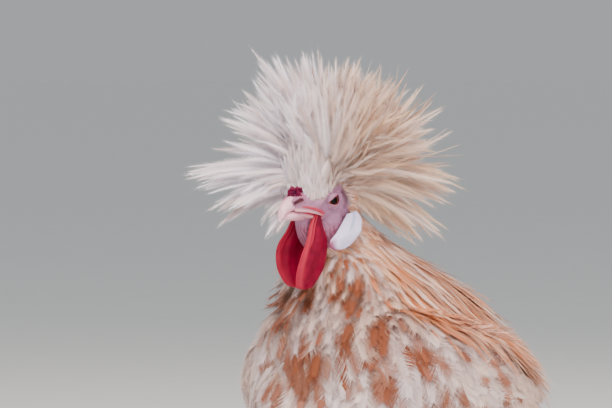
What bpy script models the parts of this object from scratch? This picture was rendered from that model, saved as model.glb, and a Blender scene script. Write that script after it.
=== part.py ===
# A life-size standing crested cock: upright body, low tail, folded wings and a high open crest.
# Metres, +Z up. The bird looks along -Y, and its left side is +X.
import math
import random

import bmesh
import bpy
from mathutils import Matrix, Vector
from mathutils.bvhtree import BVHTree

# Driving sizes of the bird
EYE_HEIGHT = 0.392
EYE_FORWARD = 0.108
SEAM = 0.0003
FEATHER_SEAM = 0.0002
VANE_THICKNESS = 0.0007
ROOT_DEPTH = 0.0024
ROOT_SHARE = 0.25
LEG_OUT = 0.047
HOCK = (0.048, 0.040, 0.104)
ANKLE = (0.047, -0.008, 0.016)

# Body rings from breast to rump: y and z of the axis, half width, reach to the back, reach to the belly
TORSO_RINGS = [
    (-0.104, 0.302, 0.034, 0.018, 0.038),
    (-0.091, 0.299, 0.058, 0.036, 0.060),
    (-0.068, 0.286, 0.077, 0.060, 0.079),
    (-0.034, 0.262, 0.087, 0.080, 0.090),
    (0.006, 0.240, 0.087, 0.080, 0.080),
    (0.044, 0.223, 0.079, 0.068, 0.064),
    (0.080, 0.212, 0.063, 0.051, 0.047),
    (0.108, 0.206, 0.044, 0.035, 0.033),
    (0.128, 0.203, 0.026, 0.022, 0.021),
]

# Neck rings from the head down, measured from the eyes: drop, distance back, half width, half length
NECK_RINGS = [
    (0.002, 0.020, 0.0140, 0.0160),
    (0.012, 0.024, 0.0195, 0.0205),
    (0.024, 0.034, 0.0255, 0.0280),
    (0.035, 0.043, 0.0335, 0.0390),
    (0.046, 0.050, 0.0430, 0.0520),
    (0.058, 0.062, 0.0520, 0.0620),
    (0.080, 0.078, 0.0640, 0.0800),
    (0.105, 0.088, 0.0680, 0.0850),
]

# Head rings from the root of the beak to the nape, measured from the eyes:
# distance back, height of the centre, half width, rise, fall
HEAD_RINGS = [
    (-0.0300, -0.0010, 0.0052, 0.0046, 0.0080),
    (-0.0240, -0.0005, 0.0085, 0.0080, 0.0110),
    (-0.0150, 0.0000, 0.0115, 0.0120, 0.0130),
    (-0.0050, 0.0010, 0.0138, 0.0165, 0.0155),
    (0.0060, 0.0020, 0.0152, 0.0200, 0.0185),
    (0.0180, 0.0020, 0.0160, 0.0205, 0.0205),
    (0.0280, 0.0000, 0.0140, 0.0175, 0.0180),
    (0.0350, -0.0030, 0.0095, 0.0120, 0.0130),
]

EYE_RADIUS = 0.0062
EYE_OUT = 0.0092
LID_LENGTH = 0.0058
LID_HEIGHT = 0.0040

# The folded wing on the flank: y, height of the middle, half height, least distance from the midline
WING_RINGS = [
    (-0.080, 0.274, 0.016, 0.060),
    (-0.066, 0.270, 0.032, 0.060),
    (-0.040, 0.260, 0.044, 0.060),
    (-0.010, 0.248, 0.048, 0.058),
    (0.020, 0.237, 0.042, 0.056),
    (0.040, 0.230, 0.028, 0.054),
]
WING_THICKNESS = 0.0050

# Outlines of a feather: share of its length and share of its half width
NARROW = [(0.0, 0.30), (0.38, 1.00), (0.76, 0.72), (1.0, 0.0)]
POINTED = [(0.0, 0.40), (0.35, 1.00), (0.75, 0.72), (1.0, 0.0)]
ROUNDED = [(0.0, 0.35), (0.35, 1.00), (0.72, 0.94), (0.93, 0.56), (1.0, 0.0)]
LONG = [(0.0, 0.35), (0.25, 0.92), (0.5, 1.00), (0.75, 0.94), (0.94, 0.56), (1.0, 0.0)]
SICKLE = [(0.0, 0.50), (0.18, 0.85), (0.36, 1.0), (0.55, 0.96), (0.75, 0.76), (0.9, 0.48), (1.0, 0.0)]

COLOURS = {
    "body_feathers": ((0.78, 0.62, 0.50), 0.85),
    "hackle_feathers": ((0.80, 0.56, 0.36), 0.75),
    "crest_feathers": ((0.86, 0.80, 0.76), 0.80),
    "wing_feathers": ((0.78, 0.58, 0.44), 0.75),
    "tail_feathers": ((0.84, 0.76, 0.68), 0.70),
    "face_skin": ((0.72, 0.42, 0.50), 0.60),
    "red_flesh": ((0.62, 0.03, 0.10), 0.45),
    "white_lobe": ((0.86, 0.87, 0.93), 0.55),
    "beak_horn": ((0.86, 0.68, 0.64), 0.35),
    "eye_gloss": ((0.05, 0.02, 0.01), 0.08),
    "leg_scales": ((0.34, 0.38, 0.43), 0.50),
    "claw_horn": ((0.62, 0.56, 0.50), 0.35),
}

EYES = Vector((0.0, -EYE_FORWARD, EYE_HEIGHT))
ACROSS = Vector((1.0, 0.0, 0.0))
BACK = Vector((0.0, 1.0, 0.0))
UP = Vector((0.0, 0.0, 1.0))
SIDES = ((1, "left"), (-1, "right"))


def clear_scene():
    for thing in list(bpy.data.objects):
        bpy.data.objects.remove(thing)


def material(name):
    found = bpy.data.materials.get(name)
    if found:
        return found
    colour, roughness = COLOURS[name]
    made = bpy.data.materials.new(name)
    made.use_nodes = True
    shader = made.node_tree.nodes["Principled BSDF"]
    shader.inputs["Base Color"].default_value = (*colour, 1.0)
    shader.inputs["Roughness"].default_value = roughness
    shader.inputs["Metallic"].default_value = 0.0
    return made


def solid(name, points, faces, finish):
    """One closed body from points and faces, with its faces turned outwards."""
    mesh = bpy.data.meshes.new(name)
    mesh.from_pydata([tuple(p) for p in points], [], faces)
    work = bmesh.new()
    work.from_mesh(mesh)
    bmesh.ops.recalc_face_normals(work, faces=work.faces)
    work.to_mesh(mesh)
    work.free()
    thing = bpy.data.objects.new(name, mesh)
    bpy.context.scene.collection.objects.link(thing)
    mesh.materials.append(material(finish))
    mesh.shade_smooth()
    mesh.set_sharp_from_angle(angle=math.radians(40.0))
    return thing


def spline_row(rows, share):
    """The row at a share from 0 to 1 of a table, on a smooth curve through its rows."""
    spans = len(rows) - 1
    place = min(max(share, 0.0), 1.0) * spans
    i = min(int(place), spans - 1)
    u = place - i
    four = rows[max(i - 1, 0)], rows[i], rows[i + 1], rows[min(i + 2, spans)]
    return [
        0.5 * (2 * b + (c - a) * u + (2 * a - 5 * b + 4 * c - d) * u * u + (3 * b - a - 3 * c + d) * u**3)
        for a, b, c, d in zip(*four)
    ]


def row_where(rows, value):
    """The row of a table, smoothed the same way, where its first number has a value."""
    low, high = 0.0, 1.0
    for _ in range(20):
        share = (low + high) / 2
        low, high = (share, high) if spline_row(rows, share)[0] < value else (low, share)
    return spline_row(rows, share)


def ring(centre, across, up, half_width, rise, fall, sides):
    """A closed egg-shaped ring of points."""
    points = []
    for k in range(sides):
        angle = 2 * math.pi * k / sides
        height = math.cos(angle)
        reach = rise if height > 0 else fall
        points.append(centre + across * (half_width * math.sin(angle)) + up * (reach * height))
    return points


def loft_faces(count, sides):
    """Faces that join count rings, and close their ends on two more points."""
    faces = []
    for i in range(count - 1):
        for k in range(sides):
            a, b = i * sides + k, i * sides + (k + 1) % sides
            faces += [(a, b, b + sides), (a, b + sides, a + sides)]
    ends = count * sides
    start = ends - sides
    for k in range(sides):
        nxt = (k + 1) % sides
        faces += [(ends, nxt, k), (ends + 1, start + k, start + nxt)]
    return faces


def loft(name, rings, finish, first=None, last=None):
    """A closed body through rings of equal count, ending in the points first and last."""
    sides = len(rings[0])
    first = first or sum(rings[0], Vector()) / sides
    last = last or sum(rings[-1], Vector()) / sides
    points = [p for one in rings for p in one] + [first, last]
    return solid(name, points, loft_faces(len(rings), sides), finish)


def tube(name, path, radii, finish, sides=8):
    """A round limb along a path, with each ring square to the path."""
    rings = []
    for i, point in enumerate(path):
        along = (path[min(i + 1, len(path) - 1)] - path[max(i - 1, 0)]).normalized()
        guide = UP if abs(along.z) < 0.8 else BACK
        across = along.cross(guide).normalized()
        rise = across.cross(along).normalized()
        rings.append(ring(point, across, rise, radii[i], radii[i], radii[i], sides))
    return loft(name, rings, finish)


def ball(name, centre, radii, finish, sides=16, levels=9):
    rings = []
    for i in range(1, levels):
        angle = math.pi * i / levels
        level = centre - BACK * (radii[1] * math.cos(angle))
        share = math.sin(angle)
        rings.append(ring(level, ACROSS, UP, radii[0] * share, radii[2] * share, radii[2] * share, sides))
    return loft(name, rings, finish, centre - BACK * radii[1], centre + BACK * radii[1])


def surface_of(*meshes):
    """What finds the outside of these (points, faces) pairs and bodies."""
    points, faces = [], []
    for mesh in meshes:
        if not isinstance(mesh, tuple):
            mesh = [v.co.copy() for v in mesh.data.vertices], [tuple(f.vertices) for f in mesh.data.polygons]
        offset = len(points)
        points += mesh[0]
        faces += [[offset + i for i in face] for face in mesh[1]]
    return BVHTree.FromPolygons(points, faces)


def swollen(thing, gap):
    """A helper copy of a body, larger by the gap all over."""
    mesh = thing.data.copy()
    normals = [v.normal.copy() for v in mesh.vertices]
    for vertex, normal in zip(mesh.vertices, normals):
        vertex.co += normal * gap
    helper = bpy.data.objects.new("helper", mesh)
    bpy.context.scene.collection.objects.link(helper)
    return helper


def keep_largest(mesh):
    """Splits the faces into triangles and leaves only the largest closed surface."""
    work = bmesh.new()
    work.from_mesh(mesh)
    bmesh.ops.triangulate(work, faces=work.faces)
    left = set(work.verts)
    shells = []
    while left:
        start = left.pop()
        shell, edge = {start}, [start]
        while edge:
            for line in edge.pop().link_edges:
                for vertex in line.verts:
                    if vertex in left:
                        left.discard(vertex)
                        shell.add(vertex)
                        edge.append(vertex)
        shells.append(shell)
    largest = max(shells, key=len)
    bmesh.ops.delete(work, geom=[v for v in work.verts if v not in largest], context="VERTS")
    work.to_mesh(mesh)
    work.free()


def boolean(thing, others, operation, solver="EXACT"):
    """Joins the others to a body, or cuts them from it, and removes them."""
    group = bpy.data.collections.new("group")
    for other in others:
        group.objects.link(other)
    step = thing.modifiers.new("join", "BOOLEAN")
    step.operation = operation
    step.operand_type = "COLLECTION"
    step.collection = group
    step.solver = solver
    bpy.context.view_layer.update()
    graph = bpy.context.evaluated_depsgraph_get()
    mesh = bpy.data.meshes.new_from_object(thing.evaluated_get(graph))
    thing.modifiers.clear()
    thing.data = mesh
    keep_largest(mesh)
    for other in others:
        bpy.data.objects.remove(other)
    bpy.data.collections.remove(group)


def clear_of(thing, *neighbours, gap=SEAM):
    """Cuts a body back from what it meets, with a thin seam between them."""
    boolean(thing, [swollen(other, gap) for other in neighbours], "DIFFERENCE")


def seen_from_eyes(*things):
    """Moves bodies that are drawn round the eyes to where the eyes are."""
    for thing in things:
        thing.data.transform(Matrix.Translation(EYES))


def blade(name, centres, sideways, outwards, halves, finish):
    """A thin feather: flat rings of four points along its centre line, and a pointed end."""
    points, faces = [], []
    for centre, side, out, half in zip(centres[:-1], sideways, outwards, halves):
        thick = out * (VANE_THICKNESS / 2)
        left, right = centre - side * half, centre + side * half
        points += [left + thick, right + thick, right - thick, left - thick]
    tip = len(points)
    points.append(centres[-1])
    for i in range(len(centres) - 2):
        a, b = 4 * i, 4 * i + 4
        faces += [(a, a + 1, b + 1), (a, b + 1, b), (a + 3, b + 2, a + 2), (a + 3, b + 3, b + 2)]
        faces += [(a + 1, a + 2, b + 2), (a + 1, b + 2, b + 1), (a + 3, a, b), (a + 3, b, b + 3)]
    last = tip - 4
    faces += [(0, 3, 2), (0, 2, 1)]
    faces += [(last + k, last + (k + 1) % 4, tip) for k in range(4)]
    return solid(name, points, faces, finish)


def free_vane(name, path, facing, half_width, outline, finish):
    """A feather that stands in the air along a path. facing is the way its flat side looks."""
    centres, sideways, outwards, halves = [], [], [], []
    for share, width in outline:
        centre = Vector(spline_row(path, share))
        along = (Vector(spline_row(path, share + 0.02)) - Vector(spline_row(path, share - 0.02))).normalized()
        side = along.cross(facing).normalized()
        centres.append(centre)
        sideways.append(side)
        outwards.append(side.cross(along).normalized())
        halves.append(half_width * width)
    return blade(name, centres, sideways, outwards, halves, finish)


def outside(surface, point, inner):
    """The outermost place of a surface over a point, and the way out, as seen from an inner point."""
    out = (point - inner).normalized()
    hit = surface.ray_cast(point + out * 0.05, -out)[0]
    return (hit or point), out


def root_place(own, ground, inner, start, heading):
    """The nearest place up the body from start where the feather's own node is the outermost one."""
    step = 0.003
    for _ in range(16):
        place, out = outside(ground, start, inner(start))
        if (outside(own, start, inner(start))[0] - place).length < SEAM:
            break
        start = start - heading * step
    return place, out


def laid_vane(surfaces, inner, start, heading, pull, length, half_width, outline, lifts, finish):
    """A feather laid over the body, its root sunk in its own node and its tip raised.

    surfaces holds the skin of its own node and all the ground that it lies over, inner gives
    the inner point for a place, pull bends the heading as it runs, and lifts holds the height of
    the middle line where it comes free and at the tip, and the extra height of one edge.
    """
    own, ground = surfaces
    place, out = root_place(own, ground, inner, start, heading)
    heading = (heading - out * heading.dot(out)).normalized()
    centres, sideways, outwards, halves = [], [], [], []
    low_lift, tip_lift, edge_lift = lifts
    done = 0.0
    for share, width in outline:
        step = (share - done) * length
        done = share
        if step:
            ahead = place + heading * step
            new, out = outside(ground, ahead, inner(ahead))
            heading = ((new - place).normalized() + pull * share).normalized()
            place = new
        side = out.cross(heading).normalized()
        rise = min(1.0, share / ROOT_SHARE)
        free = max(0.0, share - ROOT_SHARE) / (1.0 - ROOT_SHARE)
        lift = -ROOT_DEPTH * (1 - rise) + low_lift * rise + (tip_lift - low_lift) * free
        centre = place + out * lift
        tilt = edge_lift * rise
        slope = (side + out * (tilt / half_width)).normalized()
        centres.append(centre)
        sideways.append(slope)
        outwards.append(slope.cross(heading).normalized() * -1.0)
        halves.append(half_width * width)
    return blade("vane", centres, sideways, outwards, halves, finish)


def torso_mesh(count, sides):
    """The rings of the body, square to its axis in the middle plane."""
    rings = []
    for i in range(count):
        share = i / (count - 1)
        y, z, width, back, belly = spline_row(TORSO_RINGS, share)
        ahead = spline_row(TORSO_RINGS, share + 0.03)
        behind = spline_row(TORSO_RINGS, share - 0.03)
        along = Vector((0.0, ahead[0] - behind[0], ahead[1] - behind[1])).normalized()
        rings.append(ring(Vector((0.0, y, z)), ACROSS, ACROSS.cross(along), width, back, belly, sides))
    return rings


def neck_mesh(count, sides):
    rings = []
    for i in range(count):
        drop, back, width, length = spline_row(NECK_RINGS, i / (count - 1))
        rings.append(ring(EYES + BACK * back - UP * drop, ACROSS, BACK, width, length, length, sides))
    return rings


def fine_surface(rings):
    """Points and faces of a loft for laying feathers on, without making an object of it."""
    sides = len(rings[0])
    points = [p for one in rings for p in one]
    points += [sum(rings[0], Vector()) / sides, sum(rings[-1], Vector()) / sides]
    return points, loft_faces(len(rings), sides)


def make_torso():
    breast = Vector((0.0, -0.116, 0.294))
    rump = Vector((0.0, 0.137, 0.203))
    return loft("torso", torso_mesh(17, 22), "body_feathers", breast, rump)


def make_neck(torso, head):
    neck = loft("neck", neck_mesh(12, 20), "hackle_feathers")
    clear_of(neck, torso)
    clear_of(neck, head)
    return neck


def almond_lid(side):
    """The two lids as one shell over the eyeball, open in an almond shape."""
    centre = Vector((side * EYE_OUT, 0.0, 0.0))
    sections = 12
    points, faces = [], []
    inner, outer = EYE_RADIUS + SEAM, EYE_RADIUS + 0.0013
    for k in range(sections):
        angle = 2 * math.pi * k / sections
        aim = Vector((0.0, math.cos(angle), math.sin(angle)))
        opening = 1.0 / math.hypot(math.cos(angle) / LID_LENGTH, math.sin(angle) / LID_HEIGHT)
        for radius, lean in [
            (inner, math.asin(min(opening / inner, 1.0))),
            (outer, math.asin(min(opening / outer, 1.0))),
            (outer, math.radians(84.0)),
            (inner, math.radians(84.0)),
        ]:
            points.append(centre + aim * (radius * math.sin(lean)) + ACROSS * (side * radius * math.cos(lean)))
        for j in range(4):
            a, b = 4 * k + j, 4 * k + (j + 1) % 4
            c, d = (b + 4) % (4 * sections), (a + 4) % (4 * sections)
            faces += [(a, b, c), (a, c, d)]
    return solid("lid", points, faces, "face_skin")


def mouth_line(side):
    """A thin cutter along the corner of the mouth."""
    path = [Vector((side * x, y, z)) for x, y, z in [
        (0.0075, -0.0310, -0.0078), (0.0098, -0.0240, -0.0083), (0.0122, -0.0160, -0.0092), (0.0142, -0.0065, -0.0100),
    ]]
    return tube("mouth", path, [0.0008, 0.0008, 0.0008, 0.0006], "face_skin", 5)


def make_head():
    rings = []
    for i in range(13):
        back, height, width, rise, fall = spline_row(HEAD_RINGS, i / 12)
        rings.append(ring(Vector((0.0, back, height)), ACROSS, UP, width, rise, fall, 18))
    head = loft("head", rings, "face_skin", last=Vector((0.0, 0.039, -0.004)))
    boolean(head, [almond_lid(side) for side, _ in SIDES], "UNION")
    room = (EYE_RADIUS + SEAM,) * 3
    cutters = [ball("socket", Vector((side * EYE_OUT, 0.0, 0.0)), room, "face_skin", 10, 6) for side, _ in SIDES]
    cutters += [mouth_line(side) for side, _ in SIDES]
    boolean(head, cutters, "DIFFERENCE")
    seen_from_eyes(head)
    return head


def make_eye(side, name):
    eye = ball(name, Vector((side * EYE_OUT, 0.0, 0.0)), (EYE_RADIUS,) * 3, "eye_gloss", 12, 6)
    seen_from_eyes(eye)
    return eye


# Rings of the beak from its root to near the tip, measured from the eyes: back, height, half width, rise, fall
UPPER_BEAK = [
    (-0.0220, 0.0005, 0.0068, 0.0048, 0.0062),
    (-0.0300, -0.0005, 0.0062, 0.0046, 0.0050),
    (-0.0360, -0.0020, 0.0050, 0.0034, 0.0045),
    (-0.0405, -0.0055, 0.0032, 0.0026, 0.0040),
]
LOWER_BEAK = [
    (-0.0200, -0.0095, 0.0058, 0.0025, 0.0035),
    (-0.0300, -0.0090, 0.0048, 0.0023, 0.0034),
    (-0.0355, -0.0088, 0.0032, 0.0014, 0.0026),
]


def beak_half(name, table, tip):
    rings = []
    for i in range(6):
        back, height, width, rise, fall = spline_row(table, i / 5)
        rings.append(ring(Vector((0.0, back, height)), ACROSS, UP, width, rise, fall, 12))
    return loft(name, rings, "beak_horn", last=Vector(tip))


def make_beak(head):
    """The two halves of the beak, with raised nostrils opening at the sides of the upper one."""
    upper = beak_half("beak_upper", UPPER_BEAK, (0.0, -0.0430, -0.0130))
    lower = beak_half("beak_lower", LOWER_BEAK, (0.0, -0.0385, -0.0098))
    rims = [
        ball("rim", Vector((side * 0.0048, -0.0325, 0.0010)), (0.0017, 0.0034, 0.0024), "beak_horn", 8, 4)
        for side, _ in SIDES
    ]
    boolean(upper, rims, "UNION")
    pits = [
        ball("pit", Vector((side * 0.0067, -0.0328, 0.0011)), (0.0016, 0.0021, 0.0012), "beak_horn", 6, 4)
        for side, _ in SIDES
    ]
    boolean(upper, pits, "DIFFERENCE")
    seen_from_eyes(upper, lower)
    clear_of(upper, head)
    clear_of(lower, head, upper)
    return upper, lower


def make_comb(side, name, neighbours):
    """One of the two small horns of the comb, with a bulb at its foot."""
    path = [Vector((side * x, y, z)) for x, y, z in [
        (0.0026, -0.0230, 0.0040), (0.0040, -0.0265, 0.0085), (0.0052, -0.0280, 0.0130),
    ]]
    horn = tube(name, path, [0.0040, 0.0030, 0.0013], "red_flesh", 8)
    bulbs = [
        ball("bulb", Vector((side * x, y, z)), (size, size, size), "red_flesh", 6, 4)
        for x, y, z, size in [(0.0055, -0.0240, 0.0070, 0.0024)]
    ]
    boolean(horn, bulbs, "UNION")
    seen_from_eyes(horn)
    clear_of(horn, *neighbours)
    return horn


def flap(name, path, widths, thickness, breadth, waves, finish):
    """A thin hanging lobe of flesh with folds running down it. breadth is the way of its width."""
    rings = []
    count = 9
    for i in range(count):
        share = i / (count - 1)
        centre = Vector(spline_row(path, share))
        (half,) = spline_row([(w,) for w in widths], share)
        face_way = breadth.cross(UP).normalized()
        points = []
        for k in range(12):
            angle = 2 * math.pi * k / 12
            along = math.cos(angle)
            fold = waves * math.sin(along * 5.0 + share * 4.0) * min(1.0, 3.0 * share)
            points.append(centre + breadth * (half * along) + face_way * (thickness * math.sin(angle) + fold))
        rings.append(points)
    return loft(name, rings, finish)


def make_wattles(neighbours):
    left = [(0.0075, -0.010, -0.008), (0.0085, -0.011, -0.018), (0.0100, -0.0120, -0.030)]
    left += [(0.0085, -0.0135, -0.044), (0.0050, -0.0140, -0.053), (0.0040, -0.0140, -0.0565)]
    right = [(-0.0075, -0.010, -0.008), (-0.0090, -0.012, -0.018), (-0.0130, -0.0150, -0.030)]
    right += [(-0.0125, -0.0170, -0.042), (-0.0085, -0.0175, -0.051), (-0.0065, -0.0175, -0.0545)]
    widths = [0.0065, 0.0090, 0.0112, 0.0108, 0.0065, 0.0030]
    left_way = Vector((0.10, 1.0, 0.0)).normalized()
    right_way = Vector((0.50, 0.87, 0.0)).normalized()
    made = [
        flap("wattle_left", left, widths, 0.0016, left_way, 0.0006, "red_flesh"),
        flap("wattle_right", right, widths, 0.0016, right_way, 0.0006, "red_flesh"),
    ]
    seen_from_eyes(*made)
    for wattle in made:
        clear_of(wattle, *neighbours)
    return made


def make_earlobe(side, name, neighbours):
    path = [(0.0150, 0.0150, -0.002), (0.0185, 0.0150, -0.007), (0.0205, 0.0120, -0.013)]
    path += [(0.0195, 0.0075, -0.020), (0.0165, 0.0025, -0.027), (0.0145, -0.0005, -0.031)]
    path = [(side * x, y, z) for x, y, z in path]
    widths = [0.0045, 0.0065, 0.0072, 0.0070, 0.0052, 0.0025]
    breadth = Vector((side * 0.35, 0.90, 0.30)).normalized()
    lobe = flap(name, path, widths, 0.0014, breadth, 0.0004, "white_lobe")
    seen_from_eyes(lobe)
    clear_of(lobe, *neighbours)
    return lobe


SIXTHS = [k / 5 for k in range(6)]
CREST_MIDDLE = Vector((0.0, 0.014, 0.031))
CREST_KNOB = (0.023, 0.026, 0.019)
CREST_FEATHERS = 50
BROW_FEATHERS = 10
CREST_HALF_WIDTH = 0.0056


def crest_feather_path(aim, reach, fall):
    """From inside the knob out along aim, sinking by its own weight towards the tip."""
    root = 0.86 / math.sqrt(sum((a / size) ** 2 for a, size in zip(aim, CREST_KNOB)))
    path = []
    for step in range(6):
        share = step / 5
        path.append(CREST_MIDDLE + aim * (root + (reach - root) * share) - UP * (fall * share * share))
    return path


def make_crest():
    """A knob on the skull with narrow feathers that stand up in front and fall open all round."""
    rng = random.Random(7)
    crest = ball("crest", CREST_MIDDLE, CREST_KNOB, "crest_feathers", 12, 7)
    feathers = []
    for i in range(CREST_FEATHERS):
        height = 1.0 - 1.16 * (i + 0.5) / CREST_FEATHERS
        turn = i * math.pi * (3.0 - math.sqrt(5.0)) + rng.uniform(-0.15, 0.15)
        level = math.sqrt(1.0 - height * height)
        ahead = max(0.0, math.cos(turn)) * level
        height += 0.62 * ahead * ahead * max(0.0, 1.0 - height)
        aim = Vector((level * math.sin(turn), -level * math.cos(turn), height)).normalized()
        low = math.sqrt(1.0 - aim.z * aim.z)
        reach = (0.068 + 0.030 * low) * rng.uniform(0.84, 1.06) * (1.0 - 0.12 * ahead)
        fall = (0.006 + 0.040 * low * low) * rng.uniform(0.6, 1.4) * (1.0 - 0.75 * ahead)
        sway = Vector((rng.uniform(-0.3, 0.3), rng.uniform(-0.3, 0.3), 0.6))
        half = CREST_HALF_WIDTH * rng.uniform(0.85, 1.15)
        path = crest_feather_path(aim, reach, fall)
        feathers.append(free_vane("feather", path, (aim + sway).normalized(), half, NARROW, "crest_feathers"))
    for k in range(BROW_FEATHERS):
        turn = math.radians(-84 + 168 * (k + rng.uniform(-0.2, 0.2)) / (BROW_FEATHERS - 1))
        out = Vector((math.sin(turn), -math.cos(turn), 0.0))
        root = CREST_MIDDLE + out * 0.016 - UP * 0.011
        rise, flare = rng.uniform(0.030, 0.050), rng.uniform(0.012, 0.026)
        path = [root + out * (0.017 * math.sin(2.0 * u) + flare * u * u) + UP * (rise * u) for u in SIXTHS]
        feathers.append(free_vane("feather", path, out, CREST_HALF_WIDTH, NARROW, "crest_feathers"))
    boolean(crest, feathers, "UNION")
    seen_from_eyes(crest)
    return crest


def wing_point(surface, side, y, share):
    """A place on the flank under the folded wing. share runs from -1 at its lower edge to 1 at its top."""
    _, middle, half, least = row_where(WING_RINGS, y)
    z = middle + half * share
    hit = surface.ray_cast(Vector((side * 0.3, y, z)), Vector((-side, 0.0, 0.0)))[0]
    return Vector((side * max(least, abs(hit.x) if hit else 0.0), y, z))


def make_wing(side, name, torso_skin, neighbours):
    """The folded wing: a plate bent round the flank, with its tiers of feathers."""
    rings = []
    for i in range(8):
        y = spline_row(WING_RINGS, i / 7)[0]
        inner, outer = [], []
        for k in range(7):
            share = k / 3 - 1.0
            place = wing_point(torso_skin, side, y, share)
            swell = WING_THICKNESS * math.sqrt(max(1.0 - share * share, 0.0)) + 0.0012
            inner.append(place - ACROSS * (side * 0.003))
            outer.append(place + ACROSS * (side * swell))
        rings.append(outer + inner[::-1])
    wing = loft(name, rings, "wing_feathers")
    surfaces = surface_of(wing), surface_of(wing, fine_surface(torso_mesh(61, 72)))
    boolean(wing, wing_vanes(side, surfaces), "UNION")
    clear_of(wing, *neighbours)
    return wing


def wing_vanes(side, surfaces):
    """Small coverts, the wing bar, the secondaries and the primaries, each tier over the roots of the next."""
    vanes = []

    def inner(point):
        return Vector((0.0, point.y * 0.9, 0.235))

    def lay(y, z, drop, length, half, outline, lifts):
        start = Vector((side * 0.09, y, z))
        heading = Vector((0.0, math.cos(drop), -math.sin(drop)))
        pull = Vector((0.0, 0.0, 0.0))
        low, tip, edge = lifts
        vanes.append(
            laid_vane(surfaces, inner, start, heading, pull, length, half, outline, (low, tip, -side * edge),
                      "wing_feathers")
        )

    for k in range(2):
        lay(0.006, 0.198 + 0.010 * k, math.radians(22), 0.122, 0.0074, LONG, (0.0020, 0.0022, 0.0010))
    for k in range(5):
        share = k / 4
        lay(0.014 + 0.016 * share, 0.220 + 0.046 * share, math.radians(24),
            0.100 - 0.030 * share, 0.0080, LONG, (0.0028, 0.0036, 0.0016))
    for k in range(5):
        share = k / 4
        lay(-0.026 + 0.014 * share, 0.217 + 0.056 * share, math.radians(25),
            0.062 - 0.004 * share, 0.0086, ROUNDED, (0.0028, 0.0070, 0.0016))
    for k in range(4):
        share = k / 3
        lay(-0.062 + 0.012 * share, 0.237 + 0.042 * share, math.radians(27),
            0.056, 0.0090, ROUNDED, (0.0028, 0.0078, 0.0016))
    return vanes


# The cape: drop of the roots below the eyes, share of the neck's size, feathers round, length, half width, lift
HACKLE_TIERS = [
    (0.030, 8, 0.046, 0.0066, 0.0066),
    (0.052, 10, 0.050, 0.0074, 0.0070),
    (0.074, 13, 0.056, 0.0080, 0.0072),
    (0.090, 11, 0.058, 0.0084, 0.0060),
]
CAPE_LIFT = 0.0024


def hackle_inner(point):
    """The inner point that a feather of the cape stands off from."""
    return Vector((0.0, -0.040 + 0.35 * (point.y + 0.040), min(point.z - 0.030, 0.300)))


def hackle_vanes(surfaces):
    rng = random.Random(3)
    vanes = []
    for drop, count, length, half, lift in HACKLE_TIERS:
        _, back, width, deep = row_where(NECK_RINGS, drop)
        middle = EYES + BACK * back - UP * drop
        for k in range(count):
            turn = 2 * math.pi * (k + rng.uniform(0.35, 0.65)) / count
            out = Vector((math.sin(turn), -math.cos(turn), 0.0))
            start = middle + Vector((out.x * width, out.y * deep, 0.0))
            heading = (out * 0.5 - UP).normalized()
            long = length * rng.uniform(0.9, 1.1) * (0.80 if out.y < -0.7 else 1.0)
            vanes.append(
                laid_vane(surfaces, hackle_inner, start, heading, -UP * 0.3, long, half, POINTED,
                          (CAPE_LIFT, lift, half * 0.12), "hackle_feathers")
            )
    return vanes


SADDLE_TIERS = [(0.040, 6, 0.060, 0.0072, 0.0036), (0.064, 7, 0.062, 0.0072, 0.0046)]
SADDLE_LIFT = 0.0024


def saddle_inner(point):
    return Vector((0.0, point.y - 0.01, 0.205))


def saddle_vanes(surfaces):
    """Pointed feathers that hang from the back over the root of the tail and the tips of the wings."""
    rng = random.Random(5)
    vanes = []
    for y, count, length, half, lift in SADDLE_TIERS:
        for k in range(count):
            turn = math.radians(-68 + 136 * (k + rng.uniform(-0.2, 0.2)) / (count - 1))
            start = Vector((0.075 * math.sin(turn), y, 0.200 + 0.09 * math.cos(turn)))
            heading = Vector((0.45 * math.sin(turn), 0.86, -0.4))
            vanes.append(
                laid_vane(surfaces, saddle_inner, start, heading, -UP * 0.25, length * rng.uniform(0.9, 1.1),
                          half, POINTED, (SADDLE_LIFT, lift, half * 0.12), "body_feathers")
            )
    return vanes


TAIL_ROOT = Vector((0.0, 0.134, 0.203))
TAIL_PITCH = math.radians(-13.0)


def tail_feather(side, pitch, yaw, root_out, length, half, sag, roll, outline):
    """One tail feather from the root of the tail, its flat side turned by roll from straight up."""
    aim = Vector((side * math.sin(yaw) * math.cos(pitch), math.cos(yaw) * math.cos(pitch), math.sin(pitch)))
    start = TAIL_ROOT + Vector((side * root_out, -0.012, 0.006 * math.sin(pitch - TAIL_PITCH) * 3))
    path = [start + aim * (length * k / 5) - UP * (sag * (k / 5) ** 2) for k in range(6)]
    facing = Vector((side * math.sin(roll), 0.0, math.cos(roll)))
    return free_vane("vane", path, facing, half, outline, "tail_feathers")


def make_tail(torso):
    """The tail fan folded like a low tent, the coverts over it and the curved sickles."""
    tail = ball("tail", TAIL_ROOT, (0.017, 0.034, 0.019), "tail_feathers", 12, 8)
    feathers = []
    for side, _ in SIDES:
        for k in range(5):
            feathers.append(
                tail_feather(side, TAIL_PITCH + math.radians(8 - 7 * k), math.radians(3 + 2.8 * k),
                             0.0040, 0.168 - 0.004 * k, 0.0135, 0.010 + 0.002 * k,
                             math.radians(30 + 7 * k), ROUNDED)
            )
        feathers.append(
            tail_feather(side, math.radians(7), math.radians(6), 0.006, 0.245, 0.0105, 0.115,
                         math.radians(42), SICKLE)
        )
        for k in range(3):
            feathers.append(
                tail_feather(side, math.radians(2 - 9 * k), math.radians(12 + 5 * k), 0.0100 + 0.0012 * k,
                             0.150 - 0.018 * k, 0.0085, 0.060 - 0.006 * k, math.radians(48 + 6 * k), POINTED)
            )
    boolean(tail, feathers, "UNION")
    clear_of(tail, torso)
    return tail


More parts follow.
